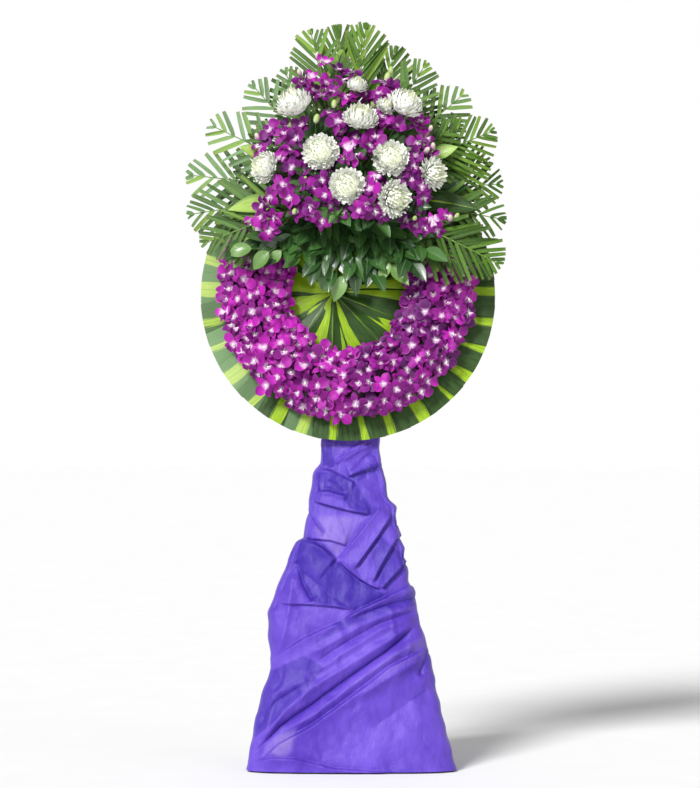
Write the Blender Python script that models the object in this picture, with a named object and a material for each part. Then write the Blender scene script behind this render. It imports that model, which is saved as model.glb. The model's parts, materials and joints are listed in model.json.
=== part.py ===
"""Standing funeral wreath on a three-pole easel.

A round board faced with striped leaves carries a crescent bed of orchid florets.
Above it a foam brick holds chrysanthemums, orchid sprays, trimmed palm fronds,
twigs of glossy leaves and two broad leaves. Cloth is wrapped round the two front
poles. Units are metres, +Z is up and the wreath faces -Y.

All but the rear pole is modelled in a leaning frame: x to the right, depth towards
the viewer and rise along the leaning plane of the easel's front, where depth 0 is
the front of the left pole. face_point() turns these into coordinates.
"""

import math
import random
from itertools import product

import bpy
from mathutils import Matrix, Vector
from mathutils.bvhtree import BVHTree

# The easel
LEAN = math.radians(8.0)
FRONT_SHIFT = -0.276  # puts the middle of the whole depth over the origin
STAND_X = 0.008
POLE_RADIUS = 0.012
POLE_SIDES = 10
POLE_FOOT_SPREAD = 0.213
CROSSING_RISE = 0.98
POLE_TOP_RISE = 1.43
CROSSBARS = (("crossbar_low", 0.20), ("crossbar_top", 1.34))  # name and rise
CROSSBAR_OVERHANG = 0.016  # how far a crossbar reaches past the middle of each pole
BAR_THICKNESS = 0.015
BAR_HEIGHT = 0.028
BLOCK_HALF_WIDTH = 0.014
BLOCK_HALF_HEIGHT = 0.016
BATTENS = (("batten_low", 0.93), ("batten_high", 1.37))  # name and rise
BATTEN_HALF_LENGTH = 0.20
BATTEN_THICKNESS = 0.0114
REAR_FOOT_Y = 0.62
REAR_TOP_HEIGHT = 1.04
FIT_GAP = 0.0003

# The wire hoop round the crossing
LASHING_HALF_WIDTH = 0.036
LASHING_FRONT = 0.0058
LASHING_BACK = -0.136
LASHING_RADIUS = 0.002
LASHING_TURNS = 16
LASHING_SIDES = 4
LASHING_CORNER = 4  # the power of the rounded oblong: larger is squarer

# The round board and its leaves
DISC_RISE = 1.144
BOARD_RADIUS = 0.345
BOARD_BACK = 0.012
BOARD_THICKNESS = 0.014
COLLAR_RADIUS = 0.353
COLLAR_LEAVES = 30
COLLAR_RELIEF = (0.003, 0.009, 0.001)  # a leaf's low side, its high side and its rib
COLLAR_RINGS = (0.45, 1.0)
COLLAR_SPACE = 0.0106  # from the collar's back to the back of what lies in front of it
CENTRE_RADIUS = 0.136
CENTRE_LEAVES = 10
CENTRE_RELIEF = (0.003, 0.011, 0.002)
CENTRE_RINGS = (0.55, 1.0)
SCALLOP = 0.992  # reach of a leaf's corners beside that of its middle

# The crescent bed of florets
CRESCENT_START = math.radians(22.0)
CRESCENT_SPAN = math.radians(-231.0)
CRESCENT_SECTORS = 6
CRESCENT_RADIUS = 0.222
CRESCENT_HALF_WIDTH = 0.062
CRESCENT_HEIGHT = 0.040
CRESCENT_SLOPE = math.radians(62.0)  # how steep the arch is at its edges
FLORET_ROWS = (-0.95, -0.33, 0.33, 0.95)
FLORET_SPACING = 0.054
FLORET_RADIUS = 0.037
FILL_SIZE = 0.88  # size of the florets between the rows beside those in the rows
FLORET_LIFTS = (0.004, 0.008, 0.012, 0.016, 0.020, 0.024, 0.029)
FLORET_SPINS = (0.0, 0.31, -0.31, 0.63, 0.16, -0.16, 0.47)

# The foam brick, a standard 230 x 110 x 80 mm one
BRICK_RISE = 1.389
BRICK_WIDTH = 0.230
BRICK_HEIGHT = 0.110
BRICK_DEPTH = 0.080
STEM_IN_FOAM = 0.020
STEM_CLEARANCE = 0.0018
HOLE_BEYOND = 0.0015  # how far a hole goes on past its stem's end
HOLE_MOUTH = 0.006  # how far its cutter stands out of the foam
# Where a stem may point from, beside the brick's centre
SOURCE_OFFSETS = [
    (x, -depth, rise)
    for depth in (0.0, 0.016)
    for x in (0.0, 0.014, -0.014, 0.028, -0.028, 0.045, -0.045)
    for rise in (0.0, 0.012, -0.012, 0.024, -0.024)
]

# The flowers above
DOME_HALF_WIDTH = 0.30
DOME_UP = 0.33
DOME_DOWN = 0.20
DOME_BASE_DEPTH = 0.115
DOME_DEPTH = 0.125
BLOOM_RADIUS = 0.043
BLOOM_ADVANCES = (0.0, 0.006, 0.012, 0.018, 0.024)  # steps out to where a bloom is clear
STEM_RADIUS = 0.0024
PEDICEL_RADIUS = 0.0016
SPRAY_ATTEMPTS = 32
HUB_SHARE = 0.62  # where a spray's hub lies between the brick's centre and the spray's middle
CLEARANCE = 0.0008
BLADE_THICKNESS = 0.0012
SOLVER = "EXACT"

# Centre (x, height) of each chrysanthemum and its size beside the usual one
MUMS = (
    (0.024, 1.645, 0.72),
    (-0.130, 1.600, 0.95),
    (0.146, 1.597, 0.98),
    (0.030, 1.566, 1.0),
    (-0.065, 1.478, 1.05),
    (0.104, 1.465, 1.02),
    (-0.203, 1.438, 0.90),
    (0.211, 1.430, 0.88),
    (0.000, 1.398, 1.02),
    (0.117, 1.369, 0.98),
)

# Centre (x, height), florets and reach of each orchid spray
SPRAYS = (
    (-0.055, 1.665, 6, 0.060),
    (-0.150, 1.515, 8, 0.072),
    (-0.135, 1.375, 8, 0.078),
    (-0.228, 1.300, 6, 0.060),
    (0.015, 1.495, 7, 0.068),
    (0.110, 1.540, 6, 0.058),
    (0.195, 1.525, 6, 0.060),
    (0.030, 1.335, 7, 0.075),
    (0.200, 1.322, 6, 0.062),
)

# Angle from +x, reach from the brick's centre, depth at the root and at the tip
FRONDS = (
    (203, 0.380, 0.110, 0.170),
    (190, 0.392, 0.082, 0.128),
    (174, 0.394, 0.058, 0.078),
    (155, 0.370, 0.100, 0.118),
    (131, 0.360, 0.064, 0.062),
    (103, 0.410, 0.098, 0.090),
    (84, 0.425, 0.064, 0.058),
    (59, 0.370, 0.098, 0.088),
    (41, 0.378, 0.064, 0.062),
    (22, 0.382, 0.100, 0.112),
    (3, 0.372, 0.056, 0.072),
    (-12, 0.386, 0.084, 0.128),
    (-29, 0.418, 0.112, 0.185),
)
FROND_BLADE = 0.230
FROND_TIP = 0.030  # how far the last leaflets reach past the rib
FROND_STRAIGHT = 0.135  # the rib bends forward only beyond this distance
FROND_HALF_WIDTH = 0.068
FROND_LEAFLETS = 7
FROND_STEM_HALF_WIDTH = 0.0022
FROND_RIB_HALF_WIDTH = 0.0026
FROND_THICKNESS = 0.0022
FROND_HOLE_RADIUS = 0.0030
LEAFLET_SLANT = math.radians(40.0)

# Tip (x, height, depth) of each twig of glossy leaves
TWIGS = (
    (-0.205, 1.262, 0.150),
    (-0.112, 1.232, 0.128),
    (-0.030, 1.195, 0.100),
    (0.058, 1.195, 0.112),
    (0.150, 1.215, 0.140),
)
TWIG_LEAVES = 7
TWIG_LEAF_LENGTH = 0.068
TWIG_LEAF_WIDTH = 0.033
TWIG_LEAF_TURN = 0.62
TWIG_RADIUS = 0.0021
TWIG_END_RADIUS = 0.0014

# Height, left edge and right edge of the wrapped cloth, from the floor up
CLOTH_OUTLINE = (
    (0.004, -0.243, 0.259),
    (0.130, -0.221, 0.227),
    (0.240, -0.188, 0.203),
    (0.306, -0.193, 0.187),
    (0.372, -0.194, 0.171),
    (0.430, -0.173, 0.158),
    (0.535, -0.124, 0.137),
    (0.570, -0.106, 0.129),
    (0.645, -0.094, 0.101),
    (0.715, -0.082, 0.088),
    (0.790, -0.066, 0.075),
    (0.850, -0.058, 0.068),
)
CLOTH_RING = 16
CLOTH_WALL = 0.0025
CLOTH_BACK_DEPTH = -0.088
CLOTH_CORNER = 0.42  # the power of the rounded oblong: smaller is squarer


def face_point(x, depth, rise):
    """A point of the leaning frame."""
    return Vector((x, -depth, rise))


def rise_of(height, depth):
    """The rise of a point of that height above the floor and that depth."""
    return (height - depth * math.sin(LEAN)) / math.cos(LEAN)


def leaning():
    """The leaning frame in world coordinates."""
    return Matrix.Translation((0, FRONT_SHIFT, 0)) @ Matrix.Rotation(-LEAN, 4, "X")


# Materials


def material(name, colour, roughness, metallic=0.0):
    made = bpy.data.materials.new(name)
    made.use_nodes = True
    shader = made.node_tree.nodes["Principled BSDF"]
    shader.inputs["Base Color"].default_value = (*colour, 1.0)
    shader.inputs["Roughness"].default_value = roughness
    shader.inputs["Metallic"].default_value = metallic
    return made


def make_materials():
    return {
        "bamboo": material("bamboo", (0.55, 0.40, 0.20), 0.5),
        "wire": material("wire", (0.35, 0.35, 0.36), 0.4, 0.9),
        "cloth": material("cloth", (0.18, 0.09, 0.62), 0.6),
        "board": material("board", (0.62, 0.45, 0.26), 0.8),
        "striped_leaf": material("striped_leaf", (0.07, 0.20, 0.05), 0.4),
        "orchid": material("orchid", (0.42, 0.02, 0.42), 0.5),
        "foam": material("foam", (0.06, 0.16, 0.07), 0.9),
        "mum": material("mum", (0.86, 0.88, 0.80), 0.55),
        "palm": material("palm", (0.14, 0.32, 0.07), 0.45),
        "glossy_leaf": material("glossy_leaf", (0.03, 0.10, 0.03), 0.25),
        "lime_leaf": material("lime_leaf", (0.42, 0.55, 0.08), 0.4),
    }


# Shapes are pairs of points and faces


def rod(path, radius, sides, end_radius=None):
    """A closed round bar along a path."""
    end_radius = radius if end_radius is None else end_radius
    points, across, last = [], None, len(path) - 1
    for i, centre in enumerate(path):
        ahead = (path[min(i + 1, last)] - path[max(i - 1, 0)]).normalized()
        if across is None:
            across = ahead.orthogonal()
        across = (across - ahead * across.dot(ahead)).normalized()
        other = ahead.cross(across)
        here = radius + (end_radius - radius) * i / last
        for k in range(sides):
            turn = 2 * math.pi * k / sides
            points.append(centre + (across * math.cos(turn) + other * math.sin(turn)) * here)
    return points, tube_faces(len(path), sides)


def tube_faces(rings, sides):
    """The side and end faces of a tube whose rings turn left about its direction."""
    faces = [tuple(reversed(range(sides)))]
    for i in range(rings - 1):
        for k in range(sides):
            a, b = i * sides + k, i * sides + (k + 1) % sides
            faces.append((a, b, b + sides, a + sides))
    faces.append(tuple(range((rings - 1) * sides, rings * sides)))
    return faces


def box(low, high):
    """A block between two corners."""
    ring = ((low.x, low.y), (high.x, low.y), (high.x, high.y), (low.x, high.y))
    points = [Vector((x, y, z)) for z in (low.z, high.z) for x, y in ring]
    return points, tube_faces(2, 4)


def slab(points, triangles, normals, thickness):
    """A blade of even thickness, split alike on both faces."""
    count = len(points)
    front = [p + n * thickness / 2 for p, n in zip(points, normals)]
    back = [p - n * thickness / 2 for p, n in zip(points, normals)]
    faces = [tuple(t) for t in triangles]
    faces += [tuple(i + count for i in reversed(t)) for t in triangles]
    edges = {(t[i], t[(i + 1) % 3]) for t in triangles for i in range(3)}
    for a, b in sorted(edges):
        if (b, a) not in edges:
            faces.append((b, a, a + count))
            faces.append((b, a + count, b + count))
    return front + back, faces


def moved(shape, matrix):
    return [matrix @ p for p in shape[0]], shape[1]


def facing(position, direction, spin=0.0):
    """A frame at position whose Z points along direction, with Y as near to up as it can be."""
    z = direction.normalized()
    x = Vector((0, 0, 1)).cross(z)
    x = Vector((1, 0, 0)) if x.length < 1e-4 else x.normalized()
    y = z.cross(x)
    turn = Matrix((x, y, z)).transposed().to_4x4() @ Matrix.Rotation(spin, 4, "Z")
    return Matrix.Translation(position) @ turn


def outward(shape):
    """The shape with its faces turned outwards."""
    points, faces = shape
    volume = 0.0
    for face in faces:
        for i in range(1, len(face) - 1):
            a, b, c = points[face[0]], points[face[i]], points[face[i + 1]]
            volume += a.dot(b.cross(c))
    if volume < 0:
        faces = [tuple(reversed(face)) for face in faces]
    return points, faces


def tree_of(shape):
    return BVHTree.FromPolygons(shape[0], shape[1], epsilon=CLEARANCE)


def is_clear(shape, others):
    own = tree_of(shape)
    return not any(own.overlap(other) for other in others)


# Objects


def add_object(name, shape, look, parent=None, smooth=False):
    shape = outward(shape)
    mesh = bpy.data.meshes.new(name)
    mesh.from_pydata([tuple(p) for p in shape[0]], [], shape[1])
    mesh.materials.append(look)
    if smooth:
        mesh.shade_smooth()
        mesh.set_sharp_from_angle(angle=math.radians(40))
    made = bpy.data.objects.new(name, mesh)
    bpy.context.scene.collection.objects.link(made)
    made.parent = parent
    return made


def combine(body, shapes, operation):
    """Joins the shapes to the object, or cuts them from it, by one Boolean that is applied."""
    tools = bpy.data.collections.new(body.name + "_tools")
    bpy.context.scene.collection.children.link(tools)
    for i, shape in enumerate(shapes):
        tool = add_object(f"{body.name}_tool_{i}", shape, body.data.materials[0])
        bpy.context.scene.collection.objects.unlink(tool)
        tools.objects.link(tool)
    step = body.modifiers.new(operation.lower(), "BOOLEAN")
    step.operation = operation
    step.operand_type = "COLLECTION"
    step.collection = tools
    step.solver = SOLVER
    graph = bpy.context.evaluated_depsgraph_get()
    mesh = bpy.data.meshes.new_from_object(body.evaluated_get(graph))
    body.modifiers.clear()
    body.data = mesh
    for tool in list(tools.objects):
        bpy.data.objects.remove(tool)
    bpy.data.collections.remove(tools)


def fused(name, shapes, look, parent):
    body = add_object(name, shapes[0], look)
    combine(body, shapes[1:], "UNION")
    body.parent = parent
    return body


# Easel


def pole_x(side, rise):
    """The middle of a front pole, which starts on that side and crosses over."""
    return STAND_X + side * POLE_FOOT_SPREAD * (1 - rise / CROSSING_RISE)


def pole_depths():
    """Depth of the middle of the left pole and of the right one, which is behind the bars."""
    left = -POLE_RADIUS
    right = left - 2 * POLE_RADIUS - BAR_THICKNESS - 2 * FIT_GAP
    return left, right


def upright_pole(name, low, high, look):
    """A pole whose ends are cut level, from world points; the foot's end is on the floor."""
    along = (high - low) / (high.z - low.z)
    foot = low - along * low.z
    points = []
    for centre in (foot, high):
        for k in range(POLE_SIDES):
            turn = 2 * math.pi * k / POLE_SIDES
            points.append(centre + Vector((math.cos(turn), math.sin(turn), 0)) * POLE_RADIUS)
    return add_object(name, (points, tube_faces(2, POLE_SIDES)), look, smooth=True)


def make_easel(looks, parent):
    lean = leaning()
    left_depth, right_depth = pole_depths()
    for name, side, depth in (("pole_left", -1, left_depth), ("pole_right", 1, right_depth)):
        low = lean @ face_point(pole_x(side, 0), depth, 0)
        high = lean @ face_point(pole_x(side, POLE_TOP_RISE), depth, POLE_TOP_RISE)
        upright_pole(name, low, high, looks["bamboo"])

    behind = right_depth - 2 * POLE_RADIUS - 2 * FIT_GAP
    rear_top = lean @ face_point(STAND_X, behind, rise_of(REAR_TOP_HEIGHT, behind))
    rear_foot = Vector((STAND_X, REAR_FOOT_Y + FRONT_SHIFT, 0))
    upright_pole("pole_rear", rear_foot, rear_top, looks["bamboo"])

    bar_front = left_depth - POLE_RADIUS - FIT_GAP
    for name, rise in CROSSBARS:
        reach = abs(pole_x(1, rise) - STAND_X) + CROSSBAR_OVERHANG
        low = face_point(STAND_X - reach, bar_front, rise - BAR_HEIGHT / 2)
        high = face_point(STAND_X + reach, bar_front - BAR_THICKNESS, rise + BAR_HEIGHT / 2)
        add_object(name, box(low, high), looks["bamboo"], parent)
    block_back = bar_front - BAR_THICKNESS
    low = face_point(STAND_X - BLOCK_HALF_WIDTH, bar_front, CROSSING_RISE - BLOCK_HALF_HEIGHT)
    high = face_point(STAND_X + BLOCK_HALF_WIDTH, block_back, CROSSING_RISE + BLOCK_HALF_HEIGHT)
    add_object("crossing_block", box(low, high), looks["bamboo"], parent)

    for name, rise in BATTENS:
        low = face_point(-BATTEN_HALF_LENGTH, FIT_GAP + BATTEN_THICKNESS, rise - BAR_HEIGHT / 2)
        high = face_point(BATTEN_HALF_LENGTH, FIT_GAP, rise + BAR_HEIGHT / 2)
        add_object(name, box(low, high), looks["bamboo"], parent)

    add_object("lashing", lashing(), looks["wire"], parent)


def lashing():
    """A wire hoop round the three poles where they cross, a rounded oblong from above."""
    middle = face_point(STAND_X, (LASHING_FRONT + LASHING_BACK) / 2, CROSSING_RISE)
    half_depth = (LASHING_FRONT - LASHING_BACK) / 2
    points = []
    for i in range(LASHING_TURNS):
        turn = 2 * math.pi * i / LASHING_TURNS
        c, s = math.cos(turn), math.sin(turn)
        out = Vector((c, -s, 0))
        reach = (abs(c) ** LASHING_CORNER + abs(s) ** LASHING_CORNER) ** (-1 / LASHING_CORNER)
        centre = middle + Vector((out.x * LASHING_HALF_WIDTH, out.y * half_depth, 0)) * reach
        for k in range(LASHING_SIDES):
            angle = 2 * math.pi * k / LASHING_SIDES
            wire = out * math.cos(angle) + Vector((0, 0, math.sin(angle)))
            points.append(centre + wire * LASHING_RADIUS)
    faces = []
    for i in range(LASHING_TURNS):
        for k in range(LASHING_SIDES):
            a, b = i * LASHING_SIDES, (i + 1) % LASHING_TURNS * LASHING_SIDES
            after = (k + 1) % LASHING_SIDES
            faces.append((a + k, a + after, b + after, b + k))
    return points, faces


# Cloth


def cloth_section(height, left, right, inset):
    """A ring of the cloth, a rounded oblong round both poles."""
    front = 0.0085 + 0.040 * (1 - min(height / 0.74, 1.0)) ** 0.8
    half_width = (right - left) / 2 - inset
    half_depth = (front - CLOTH_BACK_DEPTH) / 2 - inset
    middle_x, middle_depth = (left + right) / 2, (front + CLOTH_BACK_DEPTH) / 2
    ring = []
    for k in range(CLOTH_RING):
        turn = 2 * math.pi * k / CLOTH_RING
        c, s = math.cos(turn), math.sin(turn)
        x = middle_x + half_width * math.copysign(abs(c) ** CLOTH_CORNER, c)
        depth = middle_depth - half_depth * math.copysign(abs(s) ** CLOTH_CORNER, s)
        ring.append(face_point(x, depth, rise_of(height, depth)))
    return ring


def make_cloth(looks, parent):
    """The cloth as a tapering sleeve, open at its foot and at its top behind the board."""
    count = len(CLOTH_OUTLINE)
    outer = [p for row in CLOTH_OUTLINE for p in cloth_section(*row, 0.0)]
    inner = [p for row in CLOTH_OUTLINE for p in cloth_section(*row, CLOTH_WALL)]
    faces = tube_faces(count, CLOTH_RING)[1:-1]
    offset = len(outer)
    faces += [tuple(i + offset for i in reversed(f)) for f in faces]
    top = (count - 1) * CLOTH_RING
    for k in range(CLOTH_RING):
        after = (k + 1) % CLOTH_RING
        faces.append((after, k, k + offset, after + offset))
        faces.append((top + k, top + after, top + after + offset, top + k + offset))
    add_object("cloth_wrap", (outer + inner, faces), looks["cloth"], parent, smooth=True)


# Board and striped leaves


def make_board(looks, parent):
    centre = face_point(0, BOARD_BACK, DISC_RISE)
    path = [centre, centre - Vector((0, BOARD_THICKNESS, 0))]
    add_object("board", rod(path, BOARD_RADIUS, 48), looks["board"], parent)


def leaf_fan(leaves, radius, back_depth, relief, rings):
    """A round of leaves laid like shingles, as relief on one flat-backed disc.

    Across each leaf the front climbs from low to high, with a raised rib, and drops
    to the next leaf. The rim is scalloped to the leaves' cut ends.
    """
    low, high, rib = relief
    steps = ((0.02, low, SCALLOP), (0.5, (low + high) / 2 + rib, 1.0), (0.98, high, SCALLOP))
    samples = []
    for i in range(leaves):
        for share, thick, reach in steps:
            samples.append((2 * math.pi * (i + share) / leaves, thick, reach))
    count = len(samples)
    middle_thick = (low + high) / 2
    front = [face_point(0, back_depth + middle_thick, DISC_RISE)]
    for ring in rings:
        for angle, thick, reach in samples:
            out = radius * ring * (reach if ring == 1.0 else 1.0)
            here = middle_thick + (thick - middle_thick) * min(1.0, ring * 1.6)
            front.append(rim_point(out, angle, back_depth + here))
    back = [face_point(0, back_depth, DISC_RISE)]
    back += [rim_point(radius * reach, angle, back_depth) for angle, _, reach in samples]
    faces = []
    last = 1 + (len(rings) - 1) * count
    base = len(front)
    for k in range(count):
        after = (k + 1) % count
        faces.append((0, 1 + k, 1 + after))
        for ring in range(len(rings) - 1):
            a, b = 1 + ring * count + k, 1 + ring * count + after
            faces.append((a, a + count, b + count))
            faces.append((a, b + count, b))
        faces.append((last + k, base + 1 + k, base + 1 + after))
        faces.append((last + k, base + 1 + after, last + after))
        faces.append((base, base + 1 + after, base + 1 + k))
    return front + back, faces


def rim_point(radius, angle, depth):
    """A point round the disc's centre, with the angle from +x."""
    return face_point(radius * math.cos(angle), depth, DISC_RISE + radius * math.sin(angle))


def make_leaf_fans(looks, parent):
    collar_back = BOARD_BACK + BOARD_THICKNESS + FIT_GAP
    collar = leaf_fan(COLLAR_LEAVES, COLLAR_RADIUS, collar_back, COLLAR_RELIEF, COLLAR_RINGS)
    add_object("leaf_collar", collar, looks["striped_leaf"], parent)
    centre_back = collar_back + COLLAR_SPACE
    centre = leaf_fan(CENTRE_LEAVES, CENTRE_RADIUS, centre_back, CENTRE_RELIEF, CENTRE_RINGS)
    add_object("leaf_centre", centre, looks["striped_leaf"], parent)
    return [tree_of(collar), tree_of(centre)]


# Florets

# Direction and half spread of each tepal, and its share of the floret's radius
TEPALS = ((18, 26, 1.0), (90, 18, 1.0), (162, 26, 1.0), (234, 17, 0.94), (306, 17, 0.94))

FUNNEL_DEPTH = 0.5  # how far a floret narrows behind its face, as a share of its radius


def floret(radius):
    """A five-lobed orchid floret facing +Z, whose back narrows to a funnel."""
    outline = []
    for direction, spread, share in TEPALS:
        for angle in (direction - spread, direction + spread):
            turn = math.radians(angle)
            outline.append(Vector((math.cos(turn) * share, math.sin(turn) * share, 0.12)) * radius)
        notch = math.radians(direction + 36)
        inner = 0.40 * radius
        outline.append(Vector((math.cos(notch) * inner, math.sin(notch) * inner, -0.06 * radius)))
    count = len(outline)
    points = [*outline, Vector((0, 0, 0.10 * radius)), Vector((0, 0, -FUNNEL_DEPTH * radius))]
    faces = []
    for k in range(count):
        after = (k + 1) % count
        faces.append((count, k, after))
        faces.append((count + 1, after, k))
    return points, faces


def crescent_point(angle, share, lift):
    """A point above the bed, and the direction out of it. share goes from -1 at the inner edge to 1."""
    slope = share * CRESCENT_SLOPE
    out = CRESCENT_RADIUS + CRESCENT_HALF_WIDTH * math.sin(slope) / math.sin(CRESCENT_SLOPE)
    depth = crescent_back() + CRESCENT_HEIGHT * math.cos(slope) ** 0.8
    radial = Vector((math.cos(angle), 0, math.sin(angle)))
    normal = radial * math.sin(slope * 0.55) + Vector((0, -1, 0)) * math.cos(slope * 0.55)
    return rim_point(out, angle, depth) + normal * lift, normal


def crescent_back():
    return BOARD_BACK + BOARD_THICKNESS + 2 * FIT_GAP + COLLAR_SPACE


def crescent_bed(start, span):
    """One sector of the foam bed, a low arch in section."""
    arch = [(-1.0, 0.0), (-0.94, 0.55), (-0.5, 0.92), (0.0, 1.0), (0.5, 0.92), (0.94, 0.55), (1.0, 0.0)]
    steps = 4
    points = []
    for i in range(steps + 1):
        angle = start + span * i / steps
        for share, up in arch:
            out = CRESCENT_RADIUS + share * CRESCENT_HALF_WIDTH
            points.append(rim_point(out, angle, crescent_back() + up * CRESCENT_HEIGHT))
    return points, tube_faces(steps + 1, len(arch))


def floret_places():
    """Angle, share across the bed, tilt and size of every floret in the crescent.

    The first round lays out the rows, and the second fills in between their florets.
    """
    draw = random.Random(11)
    places = []
    for shift, size in ((0.25, 1.0), (0.75, FILL_SIZE)):
        for row, share in enumerate(FLORET_ROWS):
            radius = CRESCENT_RADIUS + share * CRESCENT_HALF_WIDTH * 1.2
            count = round(radius * abs(CRESCENT_SPAN) / FLORET_SPACING)
            for i in range(count):
                step = (i + (shift + 0.5 * (row % 2)) % 1.0 + 0.1 * draw.uniform(-1, 1)) / count
                angle = CRESCENT_START + CRESCENT_SPAN * min(max(step, 0.02), 0.98)
                tilt = Vector((draw.uniform(-1, 1), 0, draw.uniform(-1, 1))) * 0.22
                places.append((angle, share + 0.08 * draw.uniform(-1, 1), tilt, size))
    return places


def make_crescent(looks, parent, taken):
    """The bed and its florets, each turned and lifted until it is clear of those already there."""
    gap = FIT_GAP / CRESCENT_RADIUS
    span = CRESCENT_SPAN / CRESCENT_SECTORS
    beds = [crescent_bed(CRESCENT_START + span * i - gap, span + 2 * gap) for i in range(CRESCENT_SECTORS)]
    bed_trees = [tree_of(bed) for bed in beds]
    groups = [[bed] for bed in beds]
    placed = []
    for angle, share, tilt, size in floret_places():
        sector = min(int((angle - CRESCENT_START) / span), CRESCENT_SECTORS - 1)
        others = placed + bed_trees[:sector] + bed_trees[sector + 1 :] + taken
        for lift, spin in product(FLORET_LIFTS, FLORET_SPINS):
            position, normal = crescent_point(angle, share, lift)
            aim = (normal + tilt).normalized()
            head = moved(floret(FLORET_RADIUS * size), facing(position, aim, angle + spin))
            shapes = with_stalk(head, position, normal, lift)
            if all(is_clear(shape, others) for shape in shapes):
                placed += [tree_of(shape) for shape in shapes]
                groups[sector] += shapes
                break
    for i, group in enumerate(groups):
        fused(f"orchid_crescent_{i + 1}", group, looks["orchid"], parent)
    return bed_trees + placed


def with_stalk(shape, position, normal, lift):
    """The floret, and a short stalk where its funnel doesn't reach well into the bed."""
    if lift < FLORET_RADIUS * FUNNEL_DEPTH - 0.004:
        return [shape]
    root = position - normal * (lift + 0.008)
    return [shape, rod([root, position - normal * 0.006], 0.0022, 3)]


# Foam brick and the stems in it


def brick_centre():
    return face_point(0, crescent_back() + BRICK_DEPTH / 2, BRICK_RISE)


def stem_start(target, source=None):
    """Where a straight stem to the target starts in the foam, and where it leaves it."""
    source = brick_centre() if source is None else source
    along = (target - source).normalized()
    centre = brick_centre()
    half = (BRICK_WIDTH / 2, BRICK_DEPTH / 2, BRICK_HEIGHT / 2)
    reach = min(
        (math.copysign(half[i], along[i]) - (source[i] - centre[i])) / along[i]
        for i in range(3)
        if abs(along[i]) > 1e-6
    )
    leaves = source + along * reach
    return leaves - along * STEM_IN_FOAM, leaves


def hole_for(start, leaves, radius):
    """The hole that a stem stands in, a little deeper and wider than the stem."""
    along = (leaves - start).normalized()
    path = [start - along * HOLE_BEYOND, leaves + along * HOLE_MOUTH]
    return rod(path, radius + STEM_CLEARANCE, 4)


def clear_stem(target, radius, others):
    """A straight stem to the target from the first place in the foam that keeps it clear."""
    for offset in SOURCE_OFFSETS:
        start, leaves = stem_start(target, brick_centre() + Vector(offset))
        stem = rod([start, target], radius, 4)
        if is_clear(stem, others):
            break
    return stem, hole_for(start, leaves, radius)


def make_brick(looks, parent, holes):
    centre = brick_centre()
    half = Vector((BRICK_WIDTH, BRICK_DEPTH, BRICK_HEIGHT)) / 2
    brick = add_object("foam_brick", box(centre - half, centre + half), looks["foam"])
    combine(brick, holes, "DIFFERENCE")
    brick.parent = parent


# Palm fronds


def frond(angle, reach, root_depth, tip_depth):
    """A trimmed frond: a flat rib with slanting leaflets, cut to a rounded outline."""
    turn = math.radians(angle)
    ahead = Vector((math.cos(turn), 0, math.sin(turn)))
    side = Vector((-math.sin(turn), 0, math.cos(turn)))
    centre = brick_centre()
    centre.y = 0.0

    def spine(distance):
        blade = max(0.0, (distance - FROND_STRAIGHT) / (reach - FROND_STRAIGHT))
        ease = blade * (2 - blade)
        depth = root_depth + (tip_depth - root_depth) * ease
        return centre + ahead * distance + Vector((0, -depth, 0))

    start, leaves = stem_start(spine(0.0) + ahead, spine(0.0))
    first, exit_at = (start - spine(0.0)).length, (leaves - spine(0.0)).length
    blade_start = max(reach - FROND_BLADE - FROND_TIP, exit_at + 0.010)
    blade = reach - FROND_TIP - blade_start
    stations = [first, exit_at + 0.004]
    if blade_start > stations[-1] + 0.02:
        stations.append(blade_start - 0.004)
    bare = len(stations)
    pitch = blade / (FROND_LEAFLETS + 0.6)
    stations += [blade_start + pitch * i for i in range(FROND_LEAFLETS + 1)]
    points, triangles = [], []
    for i, distance in enumerate(stations):
        half = FROND_STEM_HALF_WIDTH if i < bare else FROND_RIB_HALF_WIDTH
        points += [spine(distance) + side * half, spine(distance) - side * half]
    for i in range(len(stations) - 1):
        a = 2 * i
        triangles += [(a, a + 1, a + 3), (a, a + 3, a + 2)]
    for i in range(bare, len(stations) - 1):
        near = (stations[i] - blade_start) / blade
        for way, edge in ((1, 0), (-1, 1)):
            half_width = FROND_HALF_WIDTH * (0.82 + 0.50 * near) * max(0.05, 1 - near**1.6) ** 0.6
            length = half_width / math.sin(LEAFLET_SLANT)
            along = ahead * math.cos(LEAFLET_SLANT) + side * math.sin(LEAFLET_SLANT) * way
            droop = Vector((0, 0.05 * length, 0))
            low, high = 2 * i + edge, 2 * i + 2 + edge
            tip_low = points[low] + along * length + ahead * pitch * 0.06 + droop
            tip_high = points[high] + along * length * 0.93 - ahead * pitch * 0.12 + droop
            new = len(points)
            points += [tip_low, tip_high]
            if way == 1:
                triangles += [(low, high, new + 1), (low, new + 1, new)]
            else:
                triangles += [(high, low, new), (high, new, new + 1)]
    end = 2 * (len(stations) - 1)
    points.append(spine(stations[-1]) + ahead * pitch * 1.3)
    triangles.append((end, end + 1, len(points) - 1))
    normals = [Vector((0, -1, 0))] * len(points)
    return slab(points, triangles, normals, FROND_THICKNESS), (start, leaves)


def make_fronds(looks, parent):
    holes, trees = [], []
    for i, placing in enumerate(FRONDS):
        shape, stem = frond(*placing)
        trees.append(tree_of(shape))
        holes.append(hole_for(*stem, FROND_HOLE_RADIUS))
        add_object(f"palm_frond_{i + 1:02d}", shape, looks["palm"], parent)
    return trees, holes


# Chrysanthemums


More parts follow.
